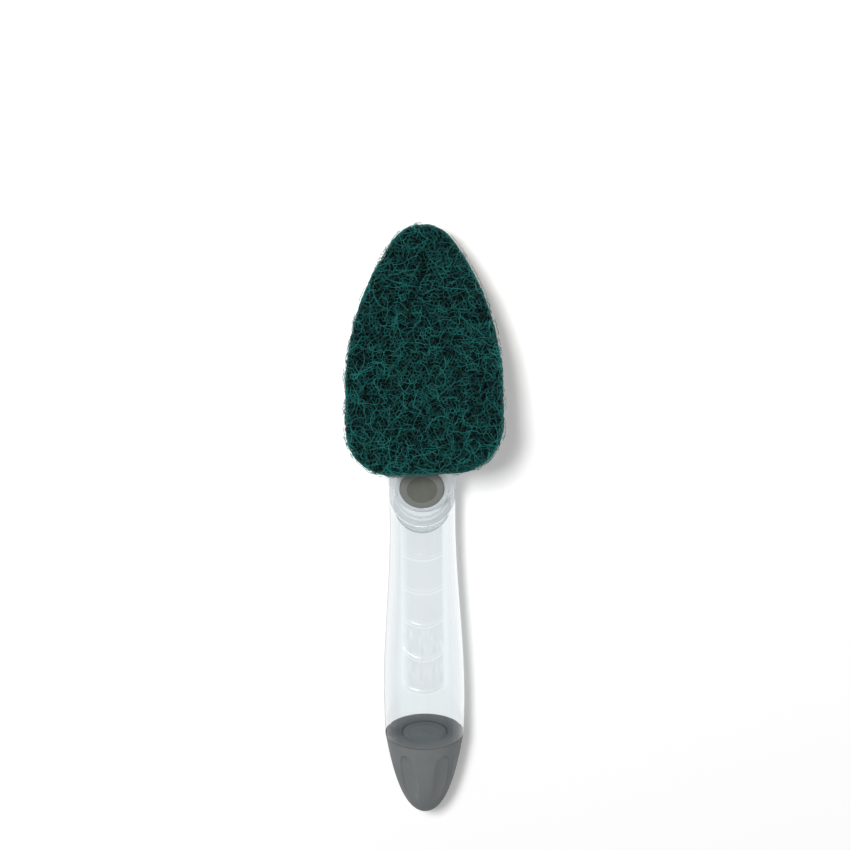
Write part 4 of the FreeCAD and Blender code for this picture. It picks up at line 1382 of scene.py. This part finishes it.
@dataclass
class PushButton:
    """The push button, its dished inlay, the clear bezel and the spring below it."""

    radius: float = 8.5
    top: float = 16.1
    flange: float = 9.0
    flange_top: float = 14.15
    skirt_bottom: float = 11.05
    skirt_inside: float = 7.2
    roof: float = 13.6
    socket: float = 4.0
    stem_hole: float = 2.05
    stem_top: float = 13.95
    seat: float = 14.9
    inlay: float = 5.9
    dish: float = 0.5
    bezel_inside: float = 8.65
    bezel_outside: float = 10.55
    bezel_bottom: float = 14.2
    bezel_top: float = 15.6
    sleeve_top: float = 7.2
    stroke: float = 3.0
    spring: float = 5.0
    wire: float = 0.35
    turns: float = 2.5
    spring_gap: float = 0.05
    corner: float = 0.45
    corner_steps: int = 4
    inlay_corner: float = 0.04
    inlay_fit: float = 0.01
    inlay_sink: float = 0.02
    dish_rows: int = 14
    turn_steps: int = 40
    bezel_sharp: float = 50.0
    wire_sharp: float = 60.0
    wire_corners: int = 10
    around: int = 128

    def lathe(self, profile: Profile, closed: bool = False) -> Mesh:
        """Turn a profile of (radius, level) about the button's axis; a corner on the axis is one point.

        Args:
            profile: the corners.
            closed: whether the profile is a loop.

        Returns:
            Points in the button's space, and faces.
        """
        angle = around(self.around)
        circle = np.column_stack([np.cos(angle), np.sin(angle)])
        rings = [
            at_level(radius * circle, level) if radius > TINY else np.array([[0.0, 0.0, level]])
            for radius, level in profile
        ]
        return skin(rings, closed)

    def build(self, shop: Workshop) -> None:
        """Make the button's pieces.

        Args:
            shop: the workshop.
        """
        body = soften([
            (0.0, self.seat),
            (self.inlay, self.seat),
            (self.inlay, self.top, self.inlay_corner),
            (self.radius, self.top),
            (self.radius, self.flange_top),
            (self.flange, self.flange_top),
            (self.flange, self.skirt_bottom),
            (self.skirt_inside, self.skirt_bottom),
            (self.skirt_inside, self.roof),
            (self.socket, self.roof),
            (self.socket, self.skirt_bottom),
            (self.stem_hole, self.skirt_bottom),
            (self.stem_hole, self.stem_top),
            (0.0, self.stem_top),
        ], self.corner, self.corner_steps)
        shop.piece("push_button", Space.BUTTON, *self.lathe(body), "button", Finish.BUTTON, ["button_cap"])
        edge, foot, rim = self.inlay - self.inlay_fit, self.seat + self.inlay_fit, self.top - self.inlay_sink
        rest = [(0.0, foot), (edge, foot), (edge, rim)]
        for k in range(1, self.dish_rows + 1):
            share = 1 - k / self.dish_rows
            rest.append((edge * share, rim - (self.dish - self.inlay_sink) * (1 - share**2)))
        shop.piece("finger_rest", Space.BUTTON, *self.lathe(rest), "button", Finish.INLAY, ["button_inlay"])
        ring = soften([
            (self.bezel_inside, self.bezel_bottom),
            (self.bezel_outside, self.bezel_bottom),
            (self.bezel_outside, self.bezel_top),
            (self.bezel_inside, self.bezel_top),
        ], self.corner, self.corner_steps, closed=True)
        shop.piece("bezel_ring", Space.BUTTON, *self.lathe(ring, closed=True), "handle", Finish.CLEAR,
                   ["button_bezel"], self.bezel_sharp)
        self.build_spring(shop)

    def build_spring(self, shop: Workshop) -> None:
        """Make the round-wire spring.

        Args:
            shop: the workshop.
        """
        bottom = self.sleeve_top + self.wire + self.spring_gap
        rise = self.roof - self.wire - self.spring_gap - bottom
        section = around(self.wire_corners)[:, None]
        up = np.array([0.0, 0.0, 1.0])
        rings = []
        steps = round(self.turns * self.turn_steps)
        for share in np.arange(steps + 1) / steps:
            angle = 2 * math.pi * self.turns * share
            out = np.array([math.cos(angle), math.sin(angle), 0.0])
            centre = self.spring * out + (bottom + rise * share) * up
            rings.append(centre + self.wire * (np.cos(section) * out + np.sin(section) * up))
        coil = shop.piece("spring_wire", Space.BUTTON, *skin(with_tips(rings)), "handle", Finish.STEEL,
                          ["return_spring"], self.wire_sharp)
        anchor = Space.BUTTON.to_part(self.sleeve_top * up)
        Space.BUTTON.direction((0, 0, 1))
        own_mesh(coil)


@dataclass
class PadShape:
    """Teardrop outline of the pad, and the way over its rounded edge."""

    width: float = 60.0
    length: float = 95.0
    tip: float = 14.0
    corner: float = 18.0
    widest_at: float = 31.5
    thickness: float = 9.0
    edge: float = 2.4
    offset: float = 1.2
    lean: float = 0.03
    lean_share: float = 0.5
    samples: int = 900
    arc_points: int = 240
    batch: int = 4000

    def outline(self, inset: float, count: int) -> np.ndarray:
        """Evenly spaced points of the outline moved inwards.

        Args:
            inset: distance inwards.
            count: number of points.

        Returns:
            Points as (x, y), right-handed from the middle of the rear edge.
        """
        half = self.width / 2
        rise = self.length - self.tip - self.widest_at
        side = (rise**2 + half**2 - self.tip**2) / (2 * (half - self.tip))
        meet = math.atan2(rise, side - half)
        arcs = [
            (half - self.corner, self.corner, self.corner - inset, -math.pi / 2, 0.0),
            (half - side, self.widest_at, side - inset, 0.0, meet),
            (0.0, self.length - self.tip, self.tip - inset, meet, math.pi / 2),
        ]
        right = [np.array([[0.0, inset]])]
        for cx, cy, radius, start, end in arcs:
            angle = np.linspace(start, end, self.arc_points)
            right.append(np.column_stack([cx + radius * np.cos(angle), cy + radius * np.sin(angle)]))
        path = np.vstack(right)
        path = np.vstack([path, path[-2:0:-1] * np.array([-1.0, 1.0]), path[:1]])
        steps = np.linalg.norm(np.diff(path, axis=0), axis=1)
        run = np.concatenate([[0.0], np.cumsum(steps)])
        wanted = np.linspace(0.0, run[-1], count, endpoint=False)
        return np.column_stack([np.interp(wanted, run, path[:, k]) for k in (0, 1)])

    def settled(self, points: np.ndarray) -> np.ndarray:
        """Points as the pad was glued: a little to one side, with its rear edge cut on a lean.

        Args:
            points: points of the neat pad in the head's space.

        Returns:
            The moved points.
        """
        out = points.copy()
        out[:, 1] += self.lean * out[:, 0] * smooth_step(1 - out[:, 1] / (self.lean_share * self.length))
        out[:, 0] += self.offset
        return out

    def edge_facts(self, flat: np.ndarray) -> tuple[np.ndarray, np.ndarray, np.ndarray]:
        """Where flat points lie against the outline.

        Args:
            flat: points as (x, y).

        Returns:
            The nearest outline points, the outward directions there, and the depth inside, which
            is negative outside.
        """
        rim = self.outline(0.0, self.samples)
        nearest = np.empty(len(flat), int)
        for start in range(0, len(flat), self.batch):
            part = slice(start, start + self.batch)
            nearest[part] = ((flat[part, None, :] - rim[None]) ** 2).sum(axis=2).argmin(axis=1)
        near, outward = rim[nearest], outward_of(rim)[nearest]
        return near, outward, -((flat - near) * outward).sum(axis=1)

    def wrap(self, flat: np.ndarray, lift: np.ndarray) -> np.ndarray:
        """Lay flat points over the pad's face and round its edge.

        Args:
            flat: unrolled points as (x, y); points outside the outline go down the side.
            lift: heights over the surface.

        Returns:
            Points in the head's space.
        """
        rim, outward, depth = self.edge_facts(flat)
        past = np.maximum(self.edge - depth, 0.0)
        bend = np.minimum(past / self.edge, math.pi / 2)
        down = np.maximum(past - self.edge * math.pi / 2, 0.0)
        inset = self.edge * (1 - np.sin(bend))
        level = -self.edge * (1 - np.cos(bend)) - down
        on_edge = past > 0
        base = np.where(on_edge[:, None], rim - outward * inset[:, None], flat)
        side = np.where(on_edge, np.sin(bend), 0.0) * lift
        rise = np.where(on_edge, np.cos(bend), 1.0) * lift
        return np.column_stack([base + outward * side[:, None], level + rise])


class PitField:
    """Open pits of the pad's web, on a staggered, uneven grid over the unrolled pad."""

    def __init__(
        self, low: np.ndarray, high: np.ndarray, pitch: float, unevenness: float, radius: Span, seed: int
    ) -> None:
        """Place the pits.

        Args:
            low: lowest corner of the unrolled pad.
            high: highest corner.
            pitch: usual distance between pits.
            unevenness: how far a pit strays from its grid place, as a share of the pitch.
            radius: least and greatest radius of a pit.
            seed: seed of the random numbers.
        """
        rng = np.random.default_rng(seed)
        self.low, self.pitch = low, pitch
        self.last = np.ceil((high - low) / pitch).astype(int)
        columns, rows = np.meshgrid(np.arange(self.last[0] + 1), np.arange(self.last[1] + 1), indexing="ij")
        grid = np.stack([columns + 0.5 * (rows % 2), rows], axis=-1)
        self.centres = low + (grid + rng.uniform(-unevenness, unevenness, grid.shape)) * pitch
        self.radii = rng.uniform(*radius, grid.shape[:2])

    def clear(self, flat: np.ndarray) -> np.ndarray:
        """Push points out of the pits.

        Args:
            flat: points as (x, y) on the unrolled pad.

        Returns:
            The points, each at least a pit's radius away from its centre.
        """
        out = flat.copy()
        cell = np.floor((flat - self.low) / self.pitch).astype(int)
        for shift in [(i, j) for i in (-1, 0, 1) for j in (-1, 0, 1, 2)]:
            spot = np.clip(cell + shift, 0, self.last)
            away = out - self.centres[spot[:, 0], spot[:, 1]]
            gap = np.maximum(np.linalg.norm(away, axis=1), TINY)
            push = np.maximum(self.radii[spot[:, 0], spot[:, 1]] - gap, 0.0)
            out += away * (push / gap)[:, None]
        return out


@dataclass(frozen=True)
class StrandLayer:
    """One layer of the pad's strands: sizes in mm, two of them as least and greatest.

    A few strands are free: longer, straighter, on top of the layer and standing out at the pad's side.
    """

    name: str
    number: int
    segments: int
    lift: Span
    radius: Span
    seed_step: int
    length: Span = (3.5, 8.0)
    curl: float = 0.5
    curl_kept: float = 0.85
    curl_change: float = 0.3
    jitter: float = 0.12
    wave: float = 0.14
    wave_step: float = 1.3
    free_share: float = 0.06
    free_calm: float = 0.3
    free_length: float = 1.5
    free_lift: Span = (0.0, 0.2)
    fuzz: Span = (0.1, 0.9)
    fuzz_from: float = 1.0
    fuzz_over: float = 2.0
    # Lower strands darker: painted shade from depth.
    depth_shade_base: float = 0.12
    depth_shade_power: float = 1.3
    tint_spread: Span = (0.25, 1.05)
    # Strands near the pad's edge lighter: a painted sheen.
    edge_sheen_gain: float = 0.2
    edge_sheen_lift: float = 0.06
    edge_light: float = 2.6


@dataclass
class ScrubPad:
    """The nonwoven scrubbing pad: a felted body, near-black as painted shade, under layers of curled, coated
    strands.
    """

    shape: PadShape = field(default_factory=PadShape)
    seed: int = 41
    count: int = 300
    side_rows: int = 12
    edge_rows: int = 8
    face_rows: int = 46
    skin_depth: float = 0.95
    glue_gap: float = 0.05
    foot: float = 0.6
    foot_inset_share: float = 0.6
    middle_share: float = 0.44
    lump_scale: float = 0.9
    lump_height: float = 0.22
    lump_side: float = 0.18
    lump_side_scale: float = 1.3
    spread: float = 82.0
    side_stop: float = 1.4
    overhang: float = 1.0
    pit_pitch: float = 1.45
    pit_unevenness: float = 0.24
    pit_radius: Span = (0.4, 0.6)
    tube_up: tuple[float, float, float] = (0.05, 0.03, 1.0)
    tube_end: float = 0.35
    sharp: float = 80.0
    under: StrandLayer = StrandLayer("pad_understrands", 3000, 12, (-1.15, -0.65), (0.12, 0.16), 0)
    upper: StrandLayer = StrandLayer("pad_strands", 4100, 13, (-0.6, -0.1), (0.085, 0.12), 1)

    def body_rings(self) -> list[np.ndarray]:
        """Rings of the felted body: its back, side, rounded edge and face.

        Returns:
            The rings in the head's space.
        """
        shape, depth, count = self.shape, self.skin_depth, self.count
        bottom, round_edge = self.glue_gap - shape.thickness, shape.edge - depth
        foot = bottom + self.foot
        rings = [at_level(shape.outline(shape.corner * self.foot_inset_share, count), bottom)]
        for k in range(self.side_rows + 1):
            level = foot + (-shape.edge - foot) * k / self.side_rows
            rings.append(at_level(shape.outline(depth, count), level))
        for k in range(1, self.edge_rows + 1):
            bend = math.pi / 2 * k / self.edge_rows
            inset = depth + round_edge * (1 - math.cos(bend))
            rings.append(at_level(shape.outline(inset, count), -shape.edge + round_edge * math.sin(bend)))
        last = shape.outline(shape.edge, count)
        middle = np.array([0.0, shape.length * self.middle_share])
        for k in range(1, self.face_rows + 1):
            share = 1 - k / (self.face_rows + 0.5)
            rings.append(at_level(middle + (last - middle) * share, -depth))
        rings.append(at_level(middle[None], -depth))
        return rings

    def body(self, shop: Workshop) -> None:
        """Make the felted body, a little below the strands.

        Args:
            shop: the workshop.
        """
        points, faces = skin(self.body_rings())
        faces.append(tuple(range(self.count - 1, -1, -1)))
        for point in points[self.count:]:
            spot = Vector(point * self.lump_scale)
            point[2] += self.lump_height * noise.noise(spot)
            point[:2] += self.lump_side * np.array(noise.noise_vector(spot * self.lump_side_scale)[:2])
        pad = shop.piece("pad_body", Space.HEAD, self.shape.settled(points), faces, "head", Finish.PAD,
                         ["scrub_pad"], self.sharp, shop.finishes.felt)

    def strands(self, shop: Workshop, layer: StrandLayer, material: bpy.types.Material) -> None:
        """Lay one layer of strands over the pad's face and sides.

        Args:
            shop: the workshop.
            layer: what the strands are like.
            material: strand material.
        """
        shape, rng = self.shape, np.random.default_rng(self.seed + layer.seed_step)
        reach = shape.thickness - shape.edge * (math.pi / 2 - 1) - self.side_stop
        low = np.array([-shape.width / 2, 0.0]) - reach
        high = np.array([shape.width / 2, shape.length]) + reach
        pits = PitField(low, high, self.pit_pitch, self.pit_unevenness, self.pit_radius, self.seed)
        pitch = self.spread / math.sqrt(layer.number)
        columns, rows = (int(v) for v in np.ceil((high - low) / pitch))
        grid = np.stack(np.meshgrid(np.arange(columns), np.arange(rows)), axis=-1).reshape(-1, 2)
        seeds = low + (grid + rng.random(grid.shape)) * pitch
        seeds = pits.clear(seeds[shape.edge_facts(seeds)[2] > -reach])
        number = len(seeds)
        free = rng.random(number) < layer.free_share
        calm = np.where(free, layer.free_calm, 1.0)
        length = rng.uniform(*layer.length, number) * np.where(free, layer.free_length, 1.0)
        heading = rng.uniform(0, 2 * math.pi, number)
        curl = rng.normal(0.0, layer.curl, number) * calm
        step = length / layer.segments
        paths = np.empty((layer.segments + 1, number, 2))
        paths[0] = seeds
        for k in range(layer.segments):
            curl = layer.curl_kept * curl + rng.normal(0.0, layer.curl_change, number) * calm
            heading = heading + curl * step + rng.normal(0, layer.jitter, number) * calm
            ahead = paths[k] + np.column_stack([np.cos(heading), np.sin(heading)]) * step[:, None]
            paths[k + 1] = np.where(free[:, None], ahead, pits.clear(pits.clear(ahead)))
        flat = paths.reshape(-1, 2)
        _, outward, depth = shape.edge_facts(flat)
        flat = flat + outward * np.minimum(depth + reach + self.overhang, 0.0)[:, None]
        depth = depth.reshape(paths.shape[:2])
        wave = rng.uniform(0, 2 * math.pi, number)
        rise = np.where(free, 1.0, rng.random(number))
        base = layer.lift[0] + (layer.lift[1] - layer.lift[0]) * rise
        base = base + np.where(free, rng.uniform(*layer.free_lift, number), 0.0)
        fuzz = np.where(free, rng.uniform(*layer.fuzz, number), 0.0)
        ripple = layer.wave * np.sin(wave + np.arange(len(paths))[:, None] * layer.wave_step)
        height = base + ripple + fuzz * smooth_step((layer.fuzz_from - depth) / layer.fuzz_over)
        centres = shape.wrap(flat, height.reshape(-1)).reshape(*depth.shape, 3)
        # Painted shade: strands lower in the layer are darker.
        tint = layer.depth_shade_base + (1 - layer.depth_shade_base) * rise**layer.depth_shade_power
        tint = tint * rng.uniform(*layer.tint_spread, number)
        # Painted sheen: strands near the pad's edge are lighter.
        edge = smooth_step((layer.edge_light - depth) / layer.edge_light)
        tint = tint * (1 + layer.edge_sheen_gain * edge) + layer.edge_sheen_lift * edge
        self._tubes(shop, layer.name, centres, rng.uniform(*layer.radius, number), tint, material)

    def _tubes(
        self, shop: Workshop, name: str, centres: np.ndarray, radius: np.ndarray, tint: np.ndarray,
        material: bpy.types.Material,
    ) -> None:
        """Make three-sided tubes along strand centres and store each strand's tint.

        Args:
            shop: the workshop.
            name: name of the piece.
            centres: points as (step, strand, xyz) in the head's space.
            radius: radius of each strand.
            tint: tint as (step, strand), 0 to about 1, holding painted shade and a painted sheen.
            material: strand material.
        """
        steps, number, _ = centres.shape
        ahead = np.gradient(centres, axis=0)
        ahead /= np.linalg.norm(ahead, axis=2)[..., None]
        side = np.cross(ahead, np.array(self.tube_up))
        side /= np.maximum(np.linalg.norm(side, axis=2), TINY)[..., None]
        over = np.cross(side, ahead)
        taper = np.ones(steps)
        taper[0] = taper[-1] = self.tube_end
        out = (radius[None, :] * taper[:, None])[..., None]
        corners = [
            centres + (side * math.cos(angle) + over * math.sin(angle)) * out
            for angle in math.pi / 2 + around(3)
        ]
        points = np.stack(corners, axis=2).transpose(1, 0, 2, 3).reshape(-1, 3)
        faces = []
        for root in range(0, number * steps * 3, steps * 3):
            end = root + (steps - 1) * 3
            for a in range(root, end, 3):
                for c, d in ((0, 1), (1, 2), (2, 0)):
                    faces.append((a + c, a + d, a + 3 + d, a + 3 + c))
            faces.append((root + 2, root + 1, root))
            faces.append((end, end + 1, end + 2))
        piece = shop.piece(name, Space.HEAD, self.shape.settled(points), faces, "head", Finish.PAD,
                           sharp=None, material=material)
        store_values(piece, "strand_tint_and_painted_light", np.repeat(tint.T.reshape(-1), 3))

    def build(self, shop: Workshop) -> None:
        """Make the pad.

        Args:
            shop: the workshop.
        """
        self.body(shop)
        self.strands(shop, self.under, shop.finishes.understrands)
        self.strands(shop, self.upper, shop.finishes.of(Finish.PAD))


@dataclass
class SpongeCore:
    """The sponge between the pad and the head's plate, with open pores along its sides."""

    shape: PadShape = field(default_factory=PadShape)
    inset: float = 4.5
    back: float = -22.0
    gap: float = 0.05
    skin_inset: float = 0.15
    face_inset: float = 9.0
    count: int = 620
    rows: int = 40
    pore_depth: float = 0.9
    pore_size: float = 1.7
    pore_reach: float = 0.42
    pore_gain: float = 1.6
    fine_ratio: float = 2.3
    fine_reach: float = 0.3
    fine_gain: float = 0.5
    sharp: float = 70.0

    def pore(self, point: np.ndarray) -> float:
        """Depth of the pores at a point of the side.

        Args:
            point: the point in the head's space.

        Returns:
            The depth.
        """
        spot = Vector(point / self.pore_size)
        near, fine = (noise.voronoi(place)[0][0] for place in (spot, spot * self.fine_ratio))
        share = max(0.0, self.pore_reach - near) * self.pore_gain
        return self.pore_depth * (share + max(0.0, self.fine_reach - fine) * self.fine_gain)

    def build(self, shop: Workshop) -> None:
        """Make the sponge.

        Args:
            shop: the workshop.
        """
        rim = self.shape.outline(self.inset + self.skin_inset, self.count)
        inner = self.shape.outline(self.inset + self.face_inset, self.count)
        outward = at_level(outward_of(rim), 0.0)
        levels = np.linspace(self.back + self.gap, -self.shape.thickness - self.gap, self.rows + 1)
        sides = [at_level(rim, level) for level in levels]
        for ring in sides:
            ring -= outward * np.array([self.pore(point) for point in ring])[:, None]
        points, faces = skin([at_level(inner, levels[0]), *sides, at_level(inner, levels[-1])])
        last = len(points) - self.count
        faces.append(tuple(range(self.count - 1, -1, -1)))
        faces.append(tuple(range(last, last + self.count)))
        sponge = shop.piece("sponge_block", Space.HEAD, points, faces, "head", Finish.SPONGE,
                            ["sponge_core"], self.sharp)


@dataclass
class InnerPieces:
    """CAD pieces whose shapes stay as they are, each with its finish."""

    finishes: dict[str, Finish] = field(default_factory=lambda: {
        "neck_housing": Finish.CLEAR,
        "head_base": Finish.BASE,
        "valve_sleeve": Finish.VALVE,
        "valve_stem": Finish.VALVE,
        "valve_disc": Finish.SEAL,
        "stem_ring": Finish.SEAL,
        "sleeve_ring": Finish.SEAL,
        "stem_clip": Finish.STEEL,
        "outlet_nozzle": Finish.NOZZLE,
        "feed_grommet": Finish.NOZZLE,
        "cap_gasket": Finish.SEAL,
    })

    def build(self, shop: Workshop) -> None:
        """Dress the CAD pieces."""
        for node, finish in self.finishes.items():
            shop.dress(node, finish)


@dataclass(frozen=True)
class SoftLamp:
    """Soft rectangular lamp: place from the aim in the head's space, side lengths in metres, watts.

    A lamp that doesn't light matt surfaces is seen in reflections and through clear pieces only.
    """

    name: str
    toward: tuple[float, float, float]
    size: Span
    power: float
    lights: bool = True

    def build(self, aim: Vector) -> None:
        """Make the lamp and turn it to the aim.

        Args:
            aim: point in the part, in metres.
        """
        data = bpy.data.lights.new(self.name, "AREA")
        data.shape = "RECTANGLE"
        data.size, data.size_y = self.size
        data.energy = self.power
        lamp = bpy.data.objects.new(self.name, data)
        lamp.visible_diffuse = self.lights
        lamp.visible_transmission = not self.lights
        lamp.location = aim + Space.HEAD.direction(self.toward)
        lamp.rotation_euler = (aim - lamp.location).to_track_quat("-Z", "Y").to_euler()
        bpy.context.scene.collection.objects.link(lamp)


@dataclass
class Studio:
    """Pale floor, soft light and the camera square to the scrubbing face."""

    target: tuple[float, float, float] = (1.39, 18.87, 0.0)
    distance: float = 1100.0
    lens: float = 123.4
    sensor: float = 36.0
    view_end: float = 50.0
    roll: float = 0.55
    floor_half: float = 3.0
    floor_gap: float = 0.0003
    floor_rough: float = 0.9
    floor_albedo: float = 0.88
    floor_glow: float = 0.28
    floor_through: float = 0.93
    floor_lit: float = 0.66
    through_share: float = 0.15
    world_light: float = 0.14
    world_seen: float = 1.0
    world_mirrored: float = 0.6
    key: SoftLamp = SoftLamp("key", (-0.26, 0.11, 1.42), (0.26, 0.26), 19.5)
    strips: tuple[SoftLamp, ...] = (
        SoftLamp("side_strip", (1.1, -0.1, 0.46), (0.10, 0.9), 1.6, lights=False),
        SoftLamp("top_strip", (0.0, 0.95, 1.0), (0.8, 0.08), 1.3, lights=False),
    )

    def build(self) -> None:
        """Make the floor, world, lamps and camera."""
        bpy.context.scene.view_settings.view_transform = "Standard"
        self._floor()
        self._world()
        aim = Vector(Space.HEAD.to_part(np.array(self.target)))
        for lamp in (self.key, *self.strips):
            lamp.build(aim)
        self._camera(aim)

    def _key_loss(self, nodes: NodeTree) -> bpy.types.NodeSocket:
        """Light that the floor lacks away from the middle, where the key fades.

        Args:
            nodes: nodes of the floor's material.

        Returns:
            Output that gives the light.
        """
        square = nodes.add("ShaderNodeVectorMath", operation="DOT_PRODUCT")
        for socket in list(square.inputs)[:2]:
            nodes.join(nodes.place(), socket)
        height = self.key.toward[2] ** 2
        share = nodes.maths("DIVIDE", height, nodes.maths("ADD", square.outputs["Value"], height))
        lit = nodes.maths("MULTIPLY", nodes.maths("MULTIPLY", share, share), self.floor_lit)
        return nodes.maths("SUBTRACT", self.floor_lit, lit)

    def _floor(self) -> None:
        """Plain floor that glows towards the camera, more where the key fades, and keeps shadows."""
        half = self.floor_half
        mesh = bpy.data.meshes.new("floor")
        corners = [(x * half, y * half, -self.floor_gap) for x, y in ((-1, -1), (1, -1), (1, 1), (-1, 1))]
        mesh.from_pydata(corners, [], [(0, 1, 2, 3)])
        floor = bpy.data.objects.new("floor", mesh)
        bpy.context.scene.collection.objects.link(floor)
        paper = MaterialSketch("floor_paper", Roughness=self.floor_rough, Specular_IOR_Level=0.0,
                               Emission_Color=(1, 1, 1, 1))
        path = paper.add("ShaderNodeLightPath")
        through = paper.straight_through(path)
        level = paper.span(through, self.floor_albedo, self.floor_albedo * self.through_share)
        paper.feed(level, "Base Color")
        camera = path.outputs["Is Camera Ray"]
        seen = paper.maths("MAXIMUM", camera, path.outputs["Is Glossy Ray"])
        plain = paper.maths("MULTIPLY", paper.maths("SUBTRACT", seen, through), self.floor_glow)
        glow = paper.maths("ADD", paper.maths("MAXIMUM", plain, 0.0),
                           paper.maths("MULTIPLY", through, self.floor_through))
        glow = paper.maths("ADD", glow, paper.maths("MULTIPLY", self._key_loss(paper), camera))
        paper.feed(glow, "Emission Strength")
        mesh.materials.append(paper.material)

    def _world(self) -> None:
        """White surroundings for the camera and for clear pieces, softer as light."""
        world = bpy.data.worlds.new("studio")
        world.use_nodes = True
        bpy.context.scene.world = world
        nodes = NodeTree(world.node_tree)
        back = world.node_tree.nodes["Background"]
        back.inputs["Color"].default_value = (1, 1, 1, 1)
        path = nodes.add("ShaderNodeLightPath")
        seen = nodes.maths("MAXIMUM", path.outputs["Is Camera Ray"], nodes.straight_through(path))
        mirrored = nodes.maths("MAXIMUM", nodes.maths("SUBTRACT", path.outputs["Is Glossy Ray"], seen), 0.0)
        level = nodes.maths("ADD", nodes.maths("MULTIPLY", seen, self.world_seen - self.world_light),
                            nodes.maths("MULTIPLY", mirrored, self.world_mirrored - self.world_light))
        nodes.join(nodes.maths("ADD", level, self.world_light), back.inputs["Strength"])

    def _camera(self, aim: Vector) -> None:
        """Camera square to the scrubbing face, with the head's tip up.

        Args:
            aim: point that it looks at, in metres.
        """
        data = bpy.data.cameras.new("camera")
        data.lens = self.lens
        data.sensor_width = self.sensor
        data.clip_end = self.view_end
        camera = bpy.data.objects.new("camera", data)
        c, s = math.cos(math.radians(self.roll)), math.sin(math.radians(self.roll))
        right, up, back = (Space.HEAD.direction(v) for v in ((c, -s, 0), (s, c, 0), (0, 0, 1)))
        place = aim + back * self.distance * MM
        camera.matrix_world = Matrix.Translation(place) @ Matrix((right, up, back)).transposed().to_4x4()
        bpy.context.scene.collection.objects.link(camera)
        bpy.context.scene.camera = camera


def main() -> None:
    """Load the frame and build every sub-assembly in order."""
    logging.basicConfig(level=logging.INFO, format="%(name)s %(message)s")
    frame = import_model()
    shop = Workshop(frame, Finishes())
    for assembly in (ClearHandle(), TwistCap(), PushButton(), ScrubPad(), SpongeCore(), InnerPieces()):
        assembly.build(shop)
    Studio().build()


if __name__ == "__main__":
    main()
